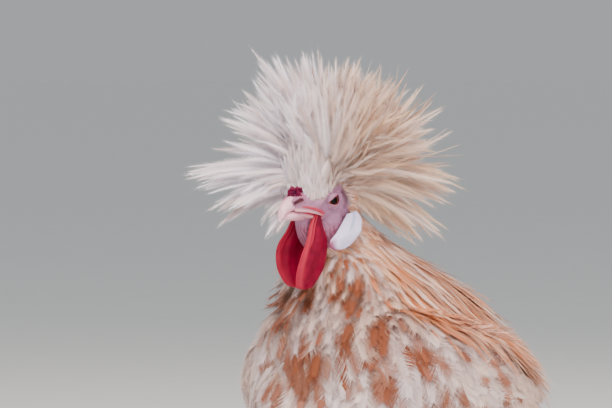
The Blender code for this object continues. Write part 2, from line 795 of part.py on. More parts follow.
# Rings of the feathered thigh down to the hock: x, y, z, half width, half depth
THIGH_RINGS = [
    (0.036, -0.004, 0.205, 0.036, 0.050),
    (0.045, 0.002, 0.178, 0.033, 0.046),
    (0.049, 0.012, 0.154, 0.025, 0.035),
    (0.049, 0.026, 0.130, 0.0165, 0.0215),
    (0.048, 0.036, 0.110, 0.0105, 0.0130),
    (0.048, 0.0395, 0.0985, 0.0072, 0.0078),
]


def make_thigh(side, name, neighbours):
    rings = []
    for i in range(10):
        x, y, z, wide, deep = spline_row(THIGH_RINGS, i / 9)
        rings.append(ring(Vector((side * x, y, z)), ACROSS, BACK, wide, deep, deep, 12))
    thigh = loft(name, rings, "body_feathers")
    clear_of(thigh, *neighbours)
    return thigh


# Toes: length, and the way they point from straight ahead, outwards
TOES = [
    (0.047, math.radians(40.0)),
    (0.062, math.radians(2.0)),
    (0.045, math.radians(-36.0)),
    (0.021, math.radians(-165.0)),
]
SHANK_SCUTES = 9
TOE_SCUTES = 3
SCUTE_STEP = 0.0005


def scaled_limb(name, path, count, radius, sides):
    """A limb whose front is covered in overlapping plates: each plate ends in a small step."""
    rings = []
    for i in range(count):
        for lift, share in ((0.0, (i + 0.06) / count), (SCUTE_STEP, (i + 0.94) / count)):
            centre = Vector(spline_row(path, share))
            along = Vector(spline_row(path, share + 0.03)) - Vector(spline_row(path, share - 0.03))
            along.normalize()
            across = along.cross(BACK if abs(along.z) > 0.7 else UP).normalized()
            rise = across.cross(along).normalized()
            front = radius(share)
            rings.append(ring(centre, across, rise, front + lift, front + lift, front + lift, sides))
    return loft(name, rings, "leg_scales")


def toe_direction(side, way):
    return Vector((side * math.sin(way), -math.cos(way), 0.0))


def floor_block():
    half, depth = 0.3, 0.05
    corners = [Vector((x * half, y * half, z)) for x in (-1, 1) for y in (-1, 1) for z in (-depth, 0.0)]
    faces = [(0, 1, 3, 2), (4, 6, 7, 5), (0, 4, 5, 1), (2, 3, 7, 6), (0, 2, 6, 4), (1, 5, 7, 3)]
    return solid("floor", corners, faces, "leg_scales")


def make_leg(side, name, thigh):
    """The scaled shank from the hock down, with four toes and a pad cut flat where they rest."""
    hock = Vector((side * HOCK[0], HOCK[1], HOCK[2]))
    ankle = Vector((side * ANKLE[0], ANKLE[1], ANKLE[2]))

    def shank_radius(share):
        return 0.0062 + 0.0026 * (2 * abs(share - 0.5)) ** 3

    leg = scaled_limb(name, [hock, hock.lerp(ankle, 0.5), ankle], SHANK_SCUTES, shank_radius, 8)
    pieces = []
    for length, way in TOES:
        aim = toe_direction(side, way)
        path = []
        for reach, height in ((0.11, 0.0088), (0.4, 0.0064), (0.7, 0.0048), (1.0, 0.0040)):
            path.append(Vector((ankle.x, ankle.y, height)) + aim * (length * reach))

        def toe_radius(share):
            return 0.0064 - 0.0022 * share

        pieces.append(scaled_limb("toe", path, TOE_SCUTES, toe_radius, 6))
    pad = Vector((ankle.x, ankle.y - 0.003, 0.0065))
    pieces.append(ball("pad", pad, (0.0105, 0.0125, 0.0080), "leg_scales", 8, 5))
    boolean(leg, pieces, "UNION")
    boolean(leg, [floor_block()], "DIFFERENCE")
    clear_of(leg, thigh)
    return leg


def make_claws(side, word, leg):
    for number, (length, way) in enumerate(TOES, 1):
        aim = toe_direction(side, way)
        root = Vector((side * ANKLE[0], ANKLE[1], 0.0)) + aim * length
        path = [root + aim * ahead + UP * height for ahead, height in (
            (-0.0010, 0.0050), (0.0055, 0.0054), (0.0130, 0.0018))]
        claw = tube(f"claw_{word}_{number}", path, [0.0025, 0.0025, 0.0006], "claw_horn", 5)
        clear_of(claw, leg)


def make_spur(side, name, leg):
    """The horn spur on the inner back side of the shank."""
    root = Vector((side * (LEG_OUT - 0.002), 0.010, 0.040))
    path = [root + Vector((-side * reach * 0.6, reach * 0.8, rise)) for reach, rise in (
        (0.0, 0.0), (0.007, 0.0), (0.014, 0.001), (0.020, 0.004))]
    spur = tube(name, path, [0.0042, 0.0036, 0.0024, 0.0009], "claw_horn", 7)
    clear_of(spur, leg)


def stand_on_origin():
    """Moves the whole bird so that the middle of the floor under it is the origin."""
    things = list(bpy.context.scene.collection.objects)
    corners = [v.co for thing in things for v in thing.data.vertices]
    shift = Vector((0.0, 0.0, -min(p.z for p in corners)))
    for axis in (0, 1):
        low, high = min(p[axis] for p in corners), max(p[axis] for p in corners)
        shift[axis] = -(low + high) / 2
    for thing in things:
        thing.data.transform(Matrix.Translation(shift))


def main():
    clear_scene()
    torso = make_torso()
    torso_skin = surface_of(fine_surface(torso_mesh(61, 72)))
    head = make_head()
    neck = make_neck(torso, head)
    for side, word in SIDES:
        make_eye(side, f"eye_{word}")
    upper, lower = make_beak(head)
    combs = [make_comb(side, f"comb_{word}", [head, upper]) for side, word in SIDES]
    make_wattles([head, neck, lower])
    lobes = [make_earlobe(side, f"earlobe_{word}", [head, neck]) for side, word in SIDES]
    wings = [make_wing(side, f"wing_{word}", torso_skin, [torso, neck]) for side, word in SIDES]
    for side, word in SIDES:
        thigh = make_thigh(side, f"thigh_{word}", [torso, wings[0] if side > 0 else wings[1]])
        leg = make_leg(side, f"leg_{word}", thigh)
        make_claws(side, word, leg)
        make_spur(side, f"spur_{word}", leg)
    body = fine_surface(torso_mesh(61, 72))
    tail = make_tail(torso)
    boolean(torso, saddle_vanes((surface_of(body), surface_of(body, tail, *wings))), "UNION")
    clear_of(torso, tail, *wings, gap=FEATHER_SEAM)
    cape = fine_surface(neck_mesh(61, 72))
    boolean(neck, hackle_vanes((surface_of(cape), surface_of(cape, body, torso, *wings))), "UNION")
    clear_of(neck, torso, *wings, gap=FEATHER_SEAM)
    clear_of(neck, torso, gap=0.0)
    crest = make_crest()
    clear_of(crest, head, *combs, *lobes)
    stand_on_origin()


main()
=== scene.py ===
import math

import bpy
import numpy as np
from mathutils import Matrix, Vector
from mathutils.bvhtree import BVHTree


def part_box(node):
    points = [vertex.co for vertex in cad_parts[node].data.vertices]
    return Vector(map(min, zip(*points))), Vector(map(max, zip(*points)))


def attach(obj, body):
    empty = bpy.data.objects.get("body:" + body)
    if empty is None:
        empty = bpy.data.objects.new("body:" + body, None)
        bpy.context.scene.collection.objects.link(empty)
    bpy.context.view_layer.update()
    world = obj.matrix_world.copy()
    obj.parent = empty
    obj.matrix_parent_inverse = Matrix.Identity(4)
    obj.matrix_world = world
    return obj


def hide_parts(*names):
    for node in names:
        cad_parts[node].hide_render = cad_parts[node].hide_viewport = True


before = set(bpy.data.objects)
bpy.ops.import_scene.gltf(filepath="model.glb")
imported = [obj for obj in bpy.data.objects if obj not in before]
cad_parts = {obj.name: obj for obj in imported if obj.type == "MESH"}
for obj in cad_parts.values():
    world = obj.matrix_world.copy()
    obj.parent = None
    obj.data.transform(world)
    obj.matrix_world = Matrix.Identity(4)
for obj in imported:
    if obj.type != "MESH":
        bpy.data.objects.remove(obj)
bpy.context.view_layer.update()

# Where the eyes are: the model's own frame puts them at HEAD_AT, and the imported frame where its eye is
EYE_OUT = 0.0092
EYE_RADIUS = 0.0062
HEAD_AT = np.array((0.0, -0.108, 0.392))
eye_low, eye_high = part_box("eye_left")
EYES = np.array((eye_low + eye_high) / 2) - np.array((EYE_OUT, 0.0, 0.0))
HOME = EYES - HEAD_AT

X = np.array((1.0, 0.0, 0.0))
BACK = np.array((0.0, 1.0, 0.0))
UP = np.array((0.0, 0.0, 1.0))
SIDES = ((1, "left"), (-1, "right"))

# The eye looks a little ahead. Its opening is given as angles from the back corner over the top, and reaches.
LOOK_TURN = math.radians(17.0)
EYE_SHIFT = np.array((0.0, 0.0005, 0.0010))
LID_LENGTH = 0.0054
LID_HEIGHT = 0.0040
LID_EDGE = [
    (0, 0.0050), (22, 0.0051), (45, 0.0050), (62, 0.0031), (80, 0.0020), (125, 0.0015), (160, 0.0018),
    (182, 0.0028), (197, 0.0046), (212, 0.0036), (235, 0.0029), (265, 0.0027), (295, 0.0030), (325, 0.0041),
]

# The edges of the bare face in the side view, from the eyes: where the crest and the ear's feathers begin
CREST_EDGE = [
    (-0.0240, 0.0085), (-0.0190, 0.0005), (-0.0100, 0.0020), (-0.0023, 0.0082), (0.0053, 0.0112),
    (0.0109, 0.0100), (0.0155, 0.0085), (0.0210, 0.0060), (0.0300, -0.0040),
]
FACE_EDGE = [
    (-0.0370, -0.0060), (-0.0300, 0.0060), (-0.0220, 0.0150), (-0.0150, 0.0180), (-0.0060, 0.0165),
    (-0.0010, 0.0145), (0.0060, 0.0112), (0.0112, 0.0053),
]

# Depth of the coat under the outline of the solids
COAT = 0.0042
THIGH_COAT = 0.0030
HEAD_COAT = 0.0012
SKIN_VOXEL = 0.0022

# Rings of the body, from the model's own origin: how far back and up, half width, rise and fall
TORSO_RINGS = [
    (-0.104, 0.302, 0.034, 0.018, 0.038),
    (-0.091, 0.299, 0.058, 0.036, 0.060),
    (-0.068, 0.286, 0.077, 0.060, 0.079),
    (-0.034, 0.262, 0.087, 0.080, 0.090),
    (0.006, 0.240, 0.087, 0.080, 0.080),
    (0.044, 0.223, 0.079, 0.068, 0.064),
    (0.080, 0.212, 0.063, 0.051, 0.047),
    (0.108, 0.206, 0.044, 0.035, 0.033),
    (0.128, 0.203, 0.026, 0.022, 0.021),
]
TORSO_ENDS = np.array(((0.0, -0.110, 0.295), (0.0, 0.131, 0.203)))
# Rings of neck and head, from the eyes, as level_rings and upright_rings take them
NECK_RINGS = [
    (-0.002, 0.020, 0.0140, 0.0160),
    (-0.012, 0.024, 0.0195, 0.0205),
    (-0.024, 0.034, 0.0255, 0.0280),
    (-0.035, 0.043, 0.0335, 0.0390),
    (-0.046, 0.050, 0.0430, 0.0520),
    (-0.058, 0.062, 0.0520, 0.0620),
    (-0.080, 0.078, 0.0640, 0.0800),
    (-0.105, 0.088, 0.0680, 0.0850),
]
HEAD_RINGS = [
    (-0.0300, -0.0010, 0.0052, 0.0046, 0.0080),
    (-0.0240, -0.0005, 0.0085, 0.0080, 0.0110),
    (-0.0150, 0.0000, 0.0115, 0.0120, 0.0130),
    (-0.0050, 0.0010, 0.0138, 0.0165, 0.0155),
    (0.0060, 0.0020, 0.0152, 0.0200, 0.0185),
    (0.0180, 0.0020, 0.0160, 0.0205, 0.0205),
    (0.0280, 0.0000, 0.0140, 0.0175, 0.0180),
    (0.0350, -0.0030, 0.0095, 0.0120, 0.0130),
]
# Sections of the folded wing's bed: how far back, height of its middle, half height and least distance out
WING_RINGS = [
    (-0.080, 0.274, 0.016, 0.060),
    (-0.066, 0.270, 0.032, 0.060),
    (-0.040, 0.260, 0.044, 0.060),
    (-0.010, 0.248, 0.048, 0.058),
    (0.020, 0.237, 0.042, 0.056),
    (0.040, 0.230, 0.028, 0.054),
]
# Rings of the left thigh: middle, half width and half depth
THIGH_RINGS = [
    (0.036, -0.004, 0.205, 0.036, 0.050),
    (0.045, 0.002, 0.178, 0.033, 0.046),
    (0.049, 0.012, 0.154, 0.025, 0.035),
    (0.049, 0.026, 0.130, 0.0165, 0.0215),
    (0.048, 0.036, 0.110, 0.0105, 0.0130),
    (0.048, 0.0395, 0.0985, 0.0072, 0.0078),
]

# The front edge of the cape of hackles in the side view, from the eyes: height, then how far back
HACKLE_EDGE = [
    (-0.130, 0.132), (-0.098, 0.090), (-0.078, 0.058), (-0.057, 0.031), (-0.045, 0.021), (-0.034, 0.017),
    (-0.029, 0.004), (0.010, 0.004),
]


def unit(vectors):
    return vectors / np.maximum(np.linalg.norm(vectors, axis=-1, keepdims=True), 1e-9)


def ease(low, high, value):
    """0 below low, 1 above high, and smooth between."""
    share = np.clip((value - low) / (high - low), 0.0, 1.0)
    return share * share * (3.0 - 2.0 * share)


def smooth_rows(rows, shares):
    """Rows of a table at shares from 0 to 1, on a smooth curve through them."""
    rows = np.asarray(rows, float)
    spans = len(rows) - 1
    place = np.clip(np.asarray(shares, float), 0.0, 1.0) * spans
    i = np.minimum(place.astype(int), spans - 1)
    u = (place - i)[..., None]
    a, b = rows[np.maximum(i - 1, 0)], rows[i]
    c, d = rows[i + 1], rows[np.minimum(i + 2, spans)]
    return 0.5 * (2 * b + (c - a) * u + (2 * a - 5 * b + 4 * c - d) * u**2 + (3 * b - a - 3 * c + d) * u**3)


def rings_round(centres, across, ups, half, rise, fall, sides):
    """Egg-shaped rings of points, as an array of ring, side and coordinate.

    across and ups are the ways of their width and height: one for all the rings, or one for each.
    """
    across, ups = np.broadcast_to(across, centres.shape), np.broadcast_to(ups, centres.shape)
    angle = np.linspace(0.0, 2 * math.pi, sides, endpoint=False)
    height = np.cos(angle)
    reach = np.where(height > 0, rise[:, None], fall[:, None])
    wide = (half[:, None] * np.sin(angle))[..., None]
    return centres[:, None] + across[:, None] * wide + ups[:, None] * (reach * height)[..., None]


def grid_triangles(rows, columns):
    """Triangles between the points of a grid that is closed round its columns."""
    i, k = np.meshgrid(np.arange(rows - 1), np.arange(columns), indexing="ij")
    a, b = (i * columns + k).ravel(), (i * columns + (k + 1) % columns).ravel()
    c, d = b + columns, a + columns
    return np.concatenate([np.stack([a, b, c], 1), np.stack([a, c, d], 1)])


def closed_loft(rings, first=None, last=None):
    """Points and triangles of a body through rings, closed at both ends."""
    count, sides = rings.shape[:2]
    first = rings[0].mean(0) if first is None else first
    last = rings[-1].mean(0) if last is None else last
    points = np.concatenate([rings.reshape(-1, 3), [first, last]])
    k = np.arange(sides)
    nxt = (k + 1) % sides
    end = count * sides
    caps = [np.stack([np.full(sides, end), nxt, k], 1)]
    caps += [np.stack([np.full(sides, end + 1), end - sides + k, end - sides + nxt], 1)]
    return points, np.concatenate([grid_triangles(count, sides)] + caps)


def joined(parts):
    """Several (points, faces) pairs as one."""
    points, faces, start = [], [], 0
    for part_points, part_faces in parts:
        points.append(part_points)
        faces.append(part_faces + start)
        start += len(part_points)
    return np.concatenate(points), np.concatenate(faces)


def new_mesh(name, points, faces):
    mesh = bpy.data.meshes.new(name)
    sides = faces.shape[1]
    mesh.vertices.add(len(points))
    mesh.vertices.foreach_set("co", np.ascontiguousarray(points, np.float32).ravel())
    mesh.loops.add(faces.size)
    mesh.loops.foreach_set("vertex_index", np.ascontiguousarray(faces, np.int32).ravel())
    mesh.polygons.add(len(faces))
    mesh.polygons.foreach_set("loop_start", np.arange(len(faces), dtype=np.int32) * sides)
    mesh.update(calc_edges=True)
    return mesh


def place_piece(name, points, faces, finish, slot, nodes, **marks):
    """A piece that rides on the bird and stands for nodes. marks are what its finish reads at each point."""
    mesh = new_mesh(name, points, faces)
    for word, values in marks.items():
        layer = mesh.attributes.new(word, "FLOAT", "POINT")
        layer.data.foreach_set("value", np.ascontiguousarray(values, np.float32).ravel())
    mesh.materials.append(finish)
    mesh.shade_smooth()
    thing = bpy.data.objects.new(name, mesh)
    bpy.context.scene.collection.objects.link(thing)
    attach(thing, "root")
    if nodes:
        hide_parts(*nodes)
    return mesh


def tree_of(points, faces):
    return BVHTree.FromPolygons(points.tolist(), faces.tolist())


def nearest(tree, points):
    """The nearest places on a surface and the way out there."""
    found = [tree.find_nearest(Vector(p)) for p in points.reshape(-1, 3)]
    places = np.array([hit[0] for hit in found]).reshape(points.shape)
    normals = np.array([hit[1] for hit in found]).reshape(points.shape)
    return places, normals


def hackle_edge(z):
    return np.interp(z, *np.array(HACKLE_EDGE).T)


def crest_edge(y):
    return np.interp(y, *np.array(CREST_EDGE).T)


def face_edge(z):
    return np.interp(z, *np.array(FACE_EDGE).T)


def wavy(points, scale, seed):
    """A smooth pattern from -1 to 1 over space, with features about scale across."""
    rng = np.random.default_rng(seed)
    total = np.zeros(len(points))
    for _ in range(10):
        way = unit(rng.normal(size=3)) * rng.uniform(0.6, 1.5)
        total += np.sin(points @ way * (2 * math.pi / scale) + rng.uniform(0, 2 * math.pi))
    return np.clip(total / 4.0, -1.0, 1.0)


# Materials

# What the points of every feather carry for their material
FEATHER_WORDS = ("cream", "rust", "root_down_and_shade", "tone", "barb")


def hex_colour(code):
    """An sRGB colour such as #c08060 as the linear one that Blender works in."""
    values = [int(code[i:i + 2], 16) / 255.0 for i in (1, 3, 5)]
    return [v / 12.92 if v <= 0.04045 else ((v + 0.055) / 1.055) ** 2.4 for v in values] + [1.0]


def add_node(tree, kind, inputs=None, **settings):
    """Adds a node with its settings, and sets or links each of its inputs."""
    made = tree.nodes.new(kind)
    for key, value in settings.items():
        setattr(made, key, value)
    for key, value in (inputs or {}).items():
        if isinstance(value, bpy.types.NodeSocket):
            tree.links.new(value, made.inputs[key])
        else:
            made.inputs[key].default_value = value
    return made


def new_finish(name, **sockets):
    """A material with a Principled shader whose sockets have these constant values."""
    made = bpy.data.materials.new(name)
    made.use_nodes = True
    shader = made.node_tree.nodes["Principled BSDF"]
    for socket, value in sockets.items():
        shader.inputs[socket.replace("_", " ")].default_value = value
    return made, made.node_tree, shader


def feather_finish(name, pale, cream, rust, root):
    """Feather keratin: matt and soft, pale or cream by the piece, with rust marks and a darker root:
    partly grey down, partly painted shade.

    Points carry cream, rust and the root's darkening, partly painted shade, from 0 to 1, tone, the lightness
    of each barb round 0, and barb, which counts the barbs along the shaft, one in every 0.7 mm, so that each
    vane shows their fine lines.
    """
    made, tree, shader = new_finish(name, Roughness=0.72, IOR=1.54, Sheen_Weight=0.25, Sheen_Roughness=0.45)
    reads = {
        word: add_node(tree, "ShaderNodeAttribute", attribute_name=word).outputs["Fac"]
        for word in FEATHER_WORDS
    }
    colour = hex_colour(pale)
    # root is the colour of the darker root: partly grey down, partly painted shade near the skin
    for word, code in (("cream", cream), ("rust", rust), ("root_down_and_shade", root)):
        colour = add_node(
            tree, "ShaderNodeMix", {0: reads[word], 6: colour, 7: hex_colour(code)}, data_type="RGBA"
        ).outputs[2]
    toned = add_node(tree, "ShaderNodeHueSaturation", {"Color": colour})
    turn = add_node(tree, "ShaderNodeMath", {0: reads["barb"], 1: 2 * math.pi}, operation="MULTIPLY")
    line = add_node(tree, "ShaderNodeMath", {0: turn.outputs[0]}, operation="SINE")
    fine = add_node(
        tree, "ShaderNodeMath", {0: line.outputs[0], 1: 0.045, 2: reads["tone"]}, operation="MULTIPLY_ADD"
    )
    value = add_node(tree, "ShaderNodeMath", {0: fine.outputs[0], 1: 1.0}, operation="ADD")
    tree.links.new(value.outputs[0], toned.inputs["Value"])
    bump = add_node(tree, "ShaderNodeBump", {"Height": line.outputs[0], "Strength": 0.25, "Distance": 0.0002})
    tree.links.new(bump.outputs[0], shader.inputs["Normal"])
    tree.links.new(toned.outputs[0], shader.inputs["Base Color"])
    return made


def skin_finish():
    """Bare poultry skin, thin and wrinkled: mauve, pink where blood shows, rust and cream under the coat,
    with painted shade in its creases, hollows and nostrils.
    """
    made, tree, shader = new_finish(
        "poultry_skin", Roughness=0.58, IOR=1.4, Subsurface_Weight=0.12, Subsurface_Scale=0.002
    )
    shader.inputs["Subsurface Radius"].default_value = (1.0, 0.35, 0.25)
    reads = {
        word: add_node(tree, "ShaderNodeAttribute", attribute_name=word).outputs["Fac"]
        for word in ("cream", "rust", "blood", "fold", "pale", "coated")
    }
    place = add_node(tree, "ShaderNodeTexCoord").outputs["Object"]
    # Blotches of about 3 mm, and pebbles of about 0.5 mm, the size of the grain on the real face
    blotch = add_node(tree, "ShaderNodeTexNoise", {"Vector": place, "Scale": 330.0, "Detail": 3.0})
    pebble = add_node(tree, "ShaderNodeTexVoronoi", {"Vector": place, "Scale": 1500.0}, feature="F1")
    coats = []
    for ground, layers in (
        # fold darkens towards #4a2834: painted shade in creases, hollows and nostrils
        ("#8e5b7c", ((blotch.outputs[0], "#af7e99"), (reads["fold"], "#4a2834"), (reads["pale"], "#d6a6ac"),
                     (reads["blood"], "#b3233f"))),
        ("#a08c92", ((reads["cream"], "#a38a74"), (reads["rust"], "#7a4526"))),
    ):
        colour = hex_colour(ground)
        for share, code in layers:
            colour = add_node(
                tree, "ShaderNodeMix", {0: share, 6: colour, 7: hex_colour(code)}, data_type="RGBA"
            ).outputs[2]
        coats.append(colour)
    whole = add_node(tree, "ShaderNodeMix", {0: reads["coated"], 6: coats[0], 7: coats[1]}, data_type="RGBA")
    tree.links.new(whole.outputs[2], shader.inputs["Base Color"])
    bump = add_node(
        tree, "ShaderNodeBump", {"Height": pebble.outputs["Distance"], "Strength": 0.35, "Distance": 0.0003}
    )
    tree.links.new(bump.outputs[0], shader.inputs["Normal"])
    return made


def flesh_finish(name, deep, light, tip):
    """Vascular flesh of wattle and comb: moist, finely pebbled, clouded in colour, paler at raised rims as a
    painted highlight.
    """
    made, tree, shader = new_finish(
        name, Roughness=0.52, IOR=1.36, Specular_IOR_Level=0.2, Subsurface_Weight=0.18, Subsurface_Scale=0.003
    )
    shader.inputs["Subsurface Radius"].default_value = (1.0, 0.2, 0.15)
    place = add_node(tree, "ShaderNodeTexCoord").outputs["Object"]
    rim = add_node(tree, "ShaderNodeAttribute", attribute_name="rim").outputs["Fac"]
    cloud = add_node(tree, "ShaderNodeTexNoise", {"Vector": place, "Scale": 150.0, "Detail": 4.0})
    pebble = add_node(tree, "ShaderNodeTexVoronoi", {"Vector": place, "Scale": 1500.0}, feature="F1")
    spread = add_node(
        tree, "ShaderNodeMapRange", {"Value": cloud.outputs[0], "From Min": 0.35, "From Max": 0.65}
    )
    colour = hex_colour(deep)
    # tip over rim: a painted highlight that makes raised rims paler
    for share, code in ((spread.outputs[0], light), (rim, tip)):
        colour = add_node(
            tree, "ShaderNodeMix", {0: share, 6: colour, 7: hex_colour(code)}, data_type="RGBA"
        ).outputs[2]
    tree.links.new(colour, shader.inputs["Base Color"])
    bump = add_node(
        tree, "ShaderNodeBump", {"Height": pebble.outputs["Distance"], "Strength": 0.30, "Distance": 0.0003}
    )
    tree.links.new(bump.outputs[0], shader.inputs["Normal"])
    return made


def horn_finish(name, pale, deep, roughness):
    """Horn of beak, claw and spur: layered, polished by use, with faint lines along it about 1 mm apart."""
    made, tree, shader = new_finish(name, Roughness=roughness, IOR=1.55, Coat_Weight=0.25, Coat_Roughness=0.25)
    place = add_node(tree, "ShaderNodeTexCoord").outputs["Object"]
    tipward = add_node(tree, "ShaderNodeAttribute", attribute_name="rim").outputs["Fac"]
    stretched = add_node(tree, "ShaderNodeMapping", {"Vector": place, "Scale": (900.0, 120.0, 900.0)})
    streak = add_node(tree, "ShaderNodeTexNoise", {"Vector": stretched.outputs[0], "Scale": 1.0, "Detail": 3.0})
    ground = add_node(
        tree, "ShaderNodeMix", {0: tipward, 6: hex_colour(deep), 7: hex_colour(pale)}, data_type="RGBA"
    ).outputs[2]
    lined = add_node(
        tree, "ShaderNodeMix", {0: streak.outputs[0], 6: ground, 7: hex_colour(deep)}, data_type="RGBA"
    ).outputs[2]
    soft = add_node(tree, "ShaderNodeMix", {0: 0.35, 6: ground, 7: lined}, data_type="RGBA")
    tree.links.new(soft.outputs[2], shader.inputs["Base Color"])
    bump = add_node(tree, "ShaderNodeBump", {"Height": streak.outputs[0], "Strength": 0.15, "Distance": 0.0002})
    tree.links.new(bump.outputs[0], shader.inputs["Normal"])
    return made


def eye_finish():
    """The eyeball under a wet cornea: black pupil, brown iris with fine rays, dark rim, dull pink beyond.

    Points carry gaze, their distance in millimetres from the axis of the eye.
    """
    made, tree, shader = new_finish(
        "eye_cornea", Roughness=0.25, IOR=1.38, Coat_Weight=0.2, Coat_Roughness=0.02, Specular_IOR_Level=0.0
    )
    gaze = add_node(tree, "ShaderNodeAttribute", attribute_name="gaze").outputs["Fac"]
    place = add_node(tree, "ShaderNodeTexCoord").outputs["Object"]
    rays = add_node(tree, "ShaderNodeTexNoise", {"Vector": place, "Scale": 1400.0, "Detail": 3.0})
    share = add_node(tree, "ShaderNodeMapRange", {"Value": gaze, "From Min": 0.0, "From Max": 6.0})
    ramp = add_node(tree, "ShaderNodeValToRGB", {0: share.outputs[0]})
    stops = [
        (0.0, "#020101"), (0.39, "#020101"), (0.43, "#3a1608"), (0.52, "#7c3a1a"),
        (0.66, "#a65f30"), (0.74, "#3a1a0e"), (0.82, "#5a3a36"), (1.0, "#8d6a6a"),
    ]
    while len(ramp.color_ramp.elements) < len(stops):
        ramp.color_ramp.elements.new(1.0)
    for element, (position, code) in zip(ramp.color_ramp.elements, stops):
        element.position = position
        element.color = hex_colour(code)
    iris = ramp.outputs[0]
    rayed = add_node(
        tree, "ShaderNodeMix", {0: rays.outputs[0], 6: iris, 7: hex_colour("#1c0a05")}, data_type="RGBA"
    )
    blended = add_node(tree, "ShaderNodeMix", {0: 0.4, 6: iris, 7: rayed.outputs[2]}, data_type="RGBA")
    tree.links.new(blended.outputs[2], shader.inputs["Base Color"])
    return made


def scale_finish():
    """Scaly leg skin: dry slate-blue scutes, darker in the seams between them."""
    made, tree, shader = new_finish("leg_scutes", Roughness=0.5, IOR=1.5)
    seam = add_node(tree, "ShaderNodeAttribute", attribute_name="rim").outputs["Fac"]
    place = add_node(tree, "ShaderNodeTexCoord").outputs["Object"]
    cloud = add_node(tree, "ShaderNodeTexNoise", {"Vector": place, "Scale": 260.0, "Detail": 4.0})
    # Small round scales of about 1.4 mm cover the sides and the soles
    grain = add_node(
        tree, "ShaderNodeTexVoronoi", {"Vector": place, "Scale": 700.0}, feature="DISTANCE_TO_EDGE"
    )
    colour = hex_colour("#56606b")
    for share, code in ((cloud.outputs[0], "#7d8790"), (seam, "#3c424a")):
        colour = add_node(
            tree, "ShaderNodeMix", {0: share, 6: colour, 7: hex_colour(code)}, data_type="RGBA"
        ).outputs[2]
    tree.links.new(colour, shader.inputs["Base Color"])
    edge = add_node(
        tree, "ShaderNodeMapRange", {"Value": grain.outputs[0], "From Min": 0.0, "From Max": 0.12}
    )
    bump = add_node(tree, "ShaderNodeBump", {"Height": edge.outputs[0], "Strength": 0.4, "Distance": 0.0003})
    tree.links.new(bump.outputs[0], shader.inputs["Normal"])
    return made


# Skin

def torso_rings(count, sides, inset):
    shares = np.linspace(0.0, 1.0, count)
    rows = smooth_rows(TORSO_RINGS, shares)
    ahead, behind = smooth_rows(TORSO_RINGS, shares + 0.03), smooth_rows(TORSO_RINGS, shares - 0.03)
    centres = HOME + np.stack([np.zeros(count), rows[:, 0], rows[:, 1]], 1)
    along = unit(np.stack([np.zeros(count), ahead[:, 0] - behind[:, 0], ahead[:, 1] - behind[:, 1]], 1))
    half, rise, fall = (np.maximum(rows[:, i] - inset, 0.002) for i in (2, 3, 4))
    return rings_round(centres, X, np.cross(X, along), half, rise, fall, sides)


def upright_rings(table, count, sides, inset=0.0):
    """Rings from a table of how far back and up from the eyes they are, half width, rise and fall."""
    rows = smooth_rows(table, np.linspace(0.0, 1.0, count))
    centres = EYES + np.stack([np.zeros(count), rows[:, 0], rows[:, 1]], 1)
    half, rise, fall = (np.maximum(rows[:, i] - inset, 0.001) for i in (2, 3, 4))
    return rings_round(centres, X, UP, half, rise, fall, sides)


def level_rings(table, count, sides, inset=0.0):
    """Rings from a table of how far up and back from the eyes they are, half width and half depth."""
    rows = smooth_rows(table, np.linspace(0.0, 1.0, count))
    centres = EYES + np.stack([np.zeros(count), rows[:, 1], rows[:, 0]], 1)
    half, deep = (np.maximum(rows[:, i] - inset, 0.002) for i in (2, 3))
    return rings_round(centres, X, BACK, half, deep, deep, sides)


def thigh_rings(side, count, sides, inset):
    rows = smooth_rows(THIGH_RINGS, np.linspace(0.0, 1.0, count))
    centres = HOME + rows[:, :3] * np.array((side, 1.0, 1.0))
    half, deep = (np.maximum(rows[:, i] - inset, 0.002) for i in (3, 4))
    return rings_round(centres, X, BACK, half, deep, deep, sides)


def wing_bed(side, torso_tree, inset):
    """The bent plate that the folded wing's feathers lie on."""
    rows = smooth_rows(WING_RINGS, np.linspace(0.0, 1.0, 24))
    rings = []
    for y, middle, half, least in rows:
        spread = np.linspace(-1.0, 1.0, 15) * max(half - inset, 0.004) / half
        inner, outer = [], []
        for share in spread:
            z = middle + half * share
            start = Vector((side * 0.3, y, z)) + Vector(HOME)
            hit = torso_tree.ray_cast(start, Vector((-side, 0.0, 0.0)))[0]
            out = max(least, abs(hit.x) if hit else 0.0)
            swell = 0.0050 * math.sqrt(max(1.0 - share * share, 0.0)) + 0.0012 - inset * 0.5
            inner.append((side * (out - 0.006), y, z))
            outer.append((side * (out + swell), y, z))
        rings.append(outer + inner[::-1])
    return closed_loft(np.array(rings) + HOME)


def melted(parts):
    """One surface round all the parts, evenly divided, with its joins smoothed over."""
    mesh = new_mesh("melt", *joined(parts))
    thing = bpy.data.objects.new("melt", mesh)
    bpy.context.scene.collection.objects.link(thing)
    remesh = thing.modifiers.new("remesh", "REMESH")
    remesh.mode = "VOXEL"
    remesh.voxel_size = SKIN_VOXEL
    smoother = thing.modifiers.new("smooth", "SMOOTH")
    smoother.factor = 0.6
    smoother.iterations = 6
    bpy.context.view_layer.update()
    whole = bpy.data.meshes.new_from_object(thing.evaluated_get(bpy.context.evaluated_depsgraph_get()))
    bpy.data.objects.remove(thing)
    points = np.empty(len(whole.vertices) * 3)
    whole.vertices.foreach_get("co", points)
    whole.calc_loop_triangles()
    corners = np.empty(len(whole.loop_triangles) * 3, np.int32)
    whole.loop_triangles.foreach_get("vertices", corners)
    bpy.data.meshes.remove(whole)
    return points.reshape(-1, 3), corners.reshape(-1, 3)


def eye_frame(side):
    """The middle of an eye, the way it looks, and the ways back and up across it."""
    look = unit(np.array((side * math.cos(LOOK_TURN), -math.sin(LOOK_TURN), 0.02)))
    back = side * unit(np.cross(UP, look))
    return EYES + X * side * EYE_OUT + EYE_SHIFT, look, back, side * np.cross(look, back)


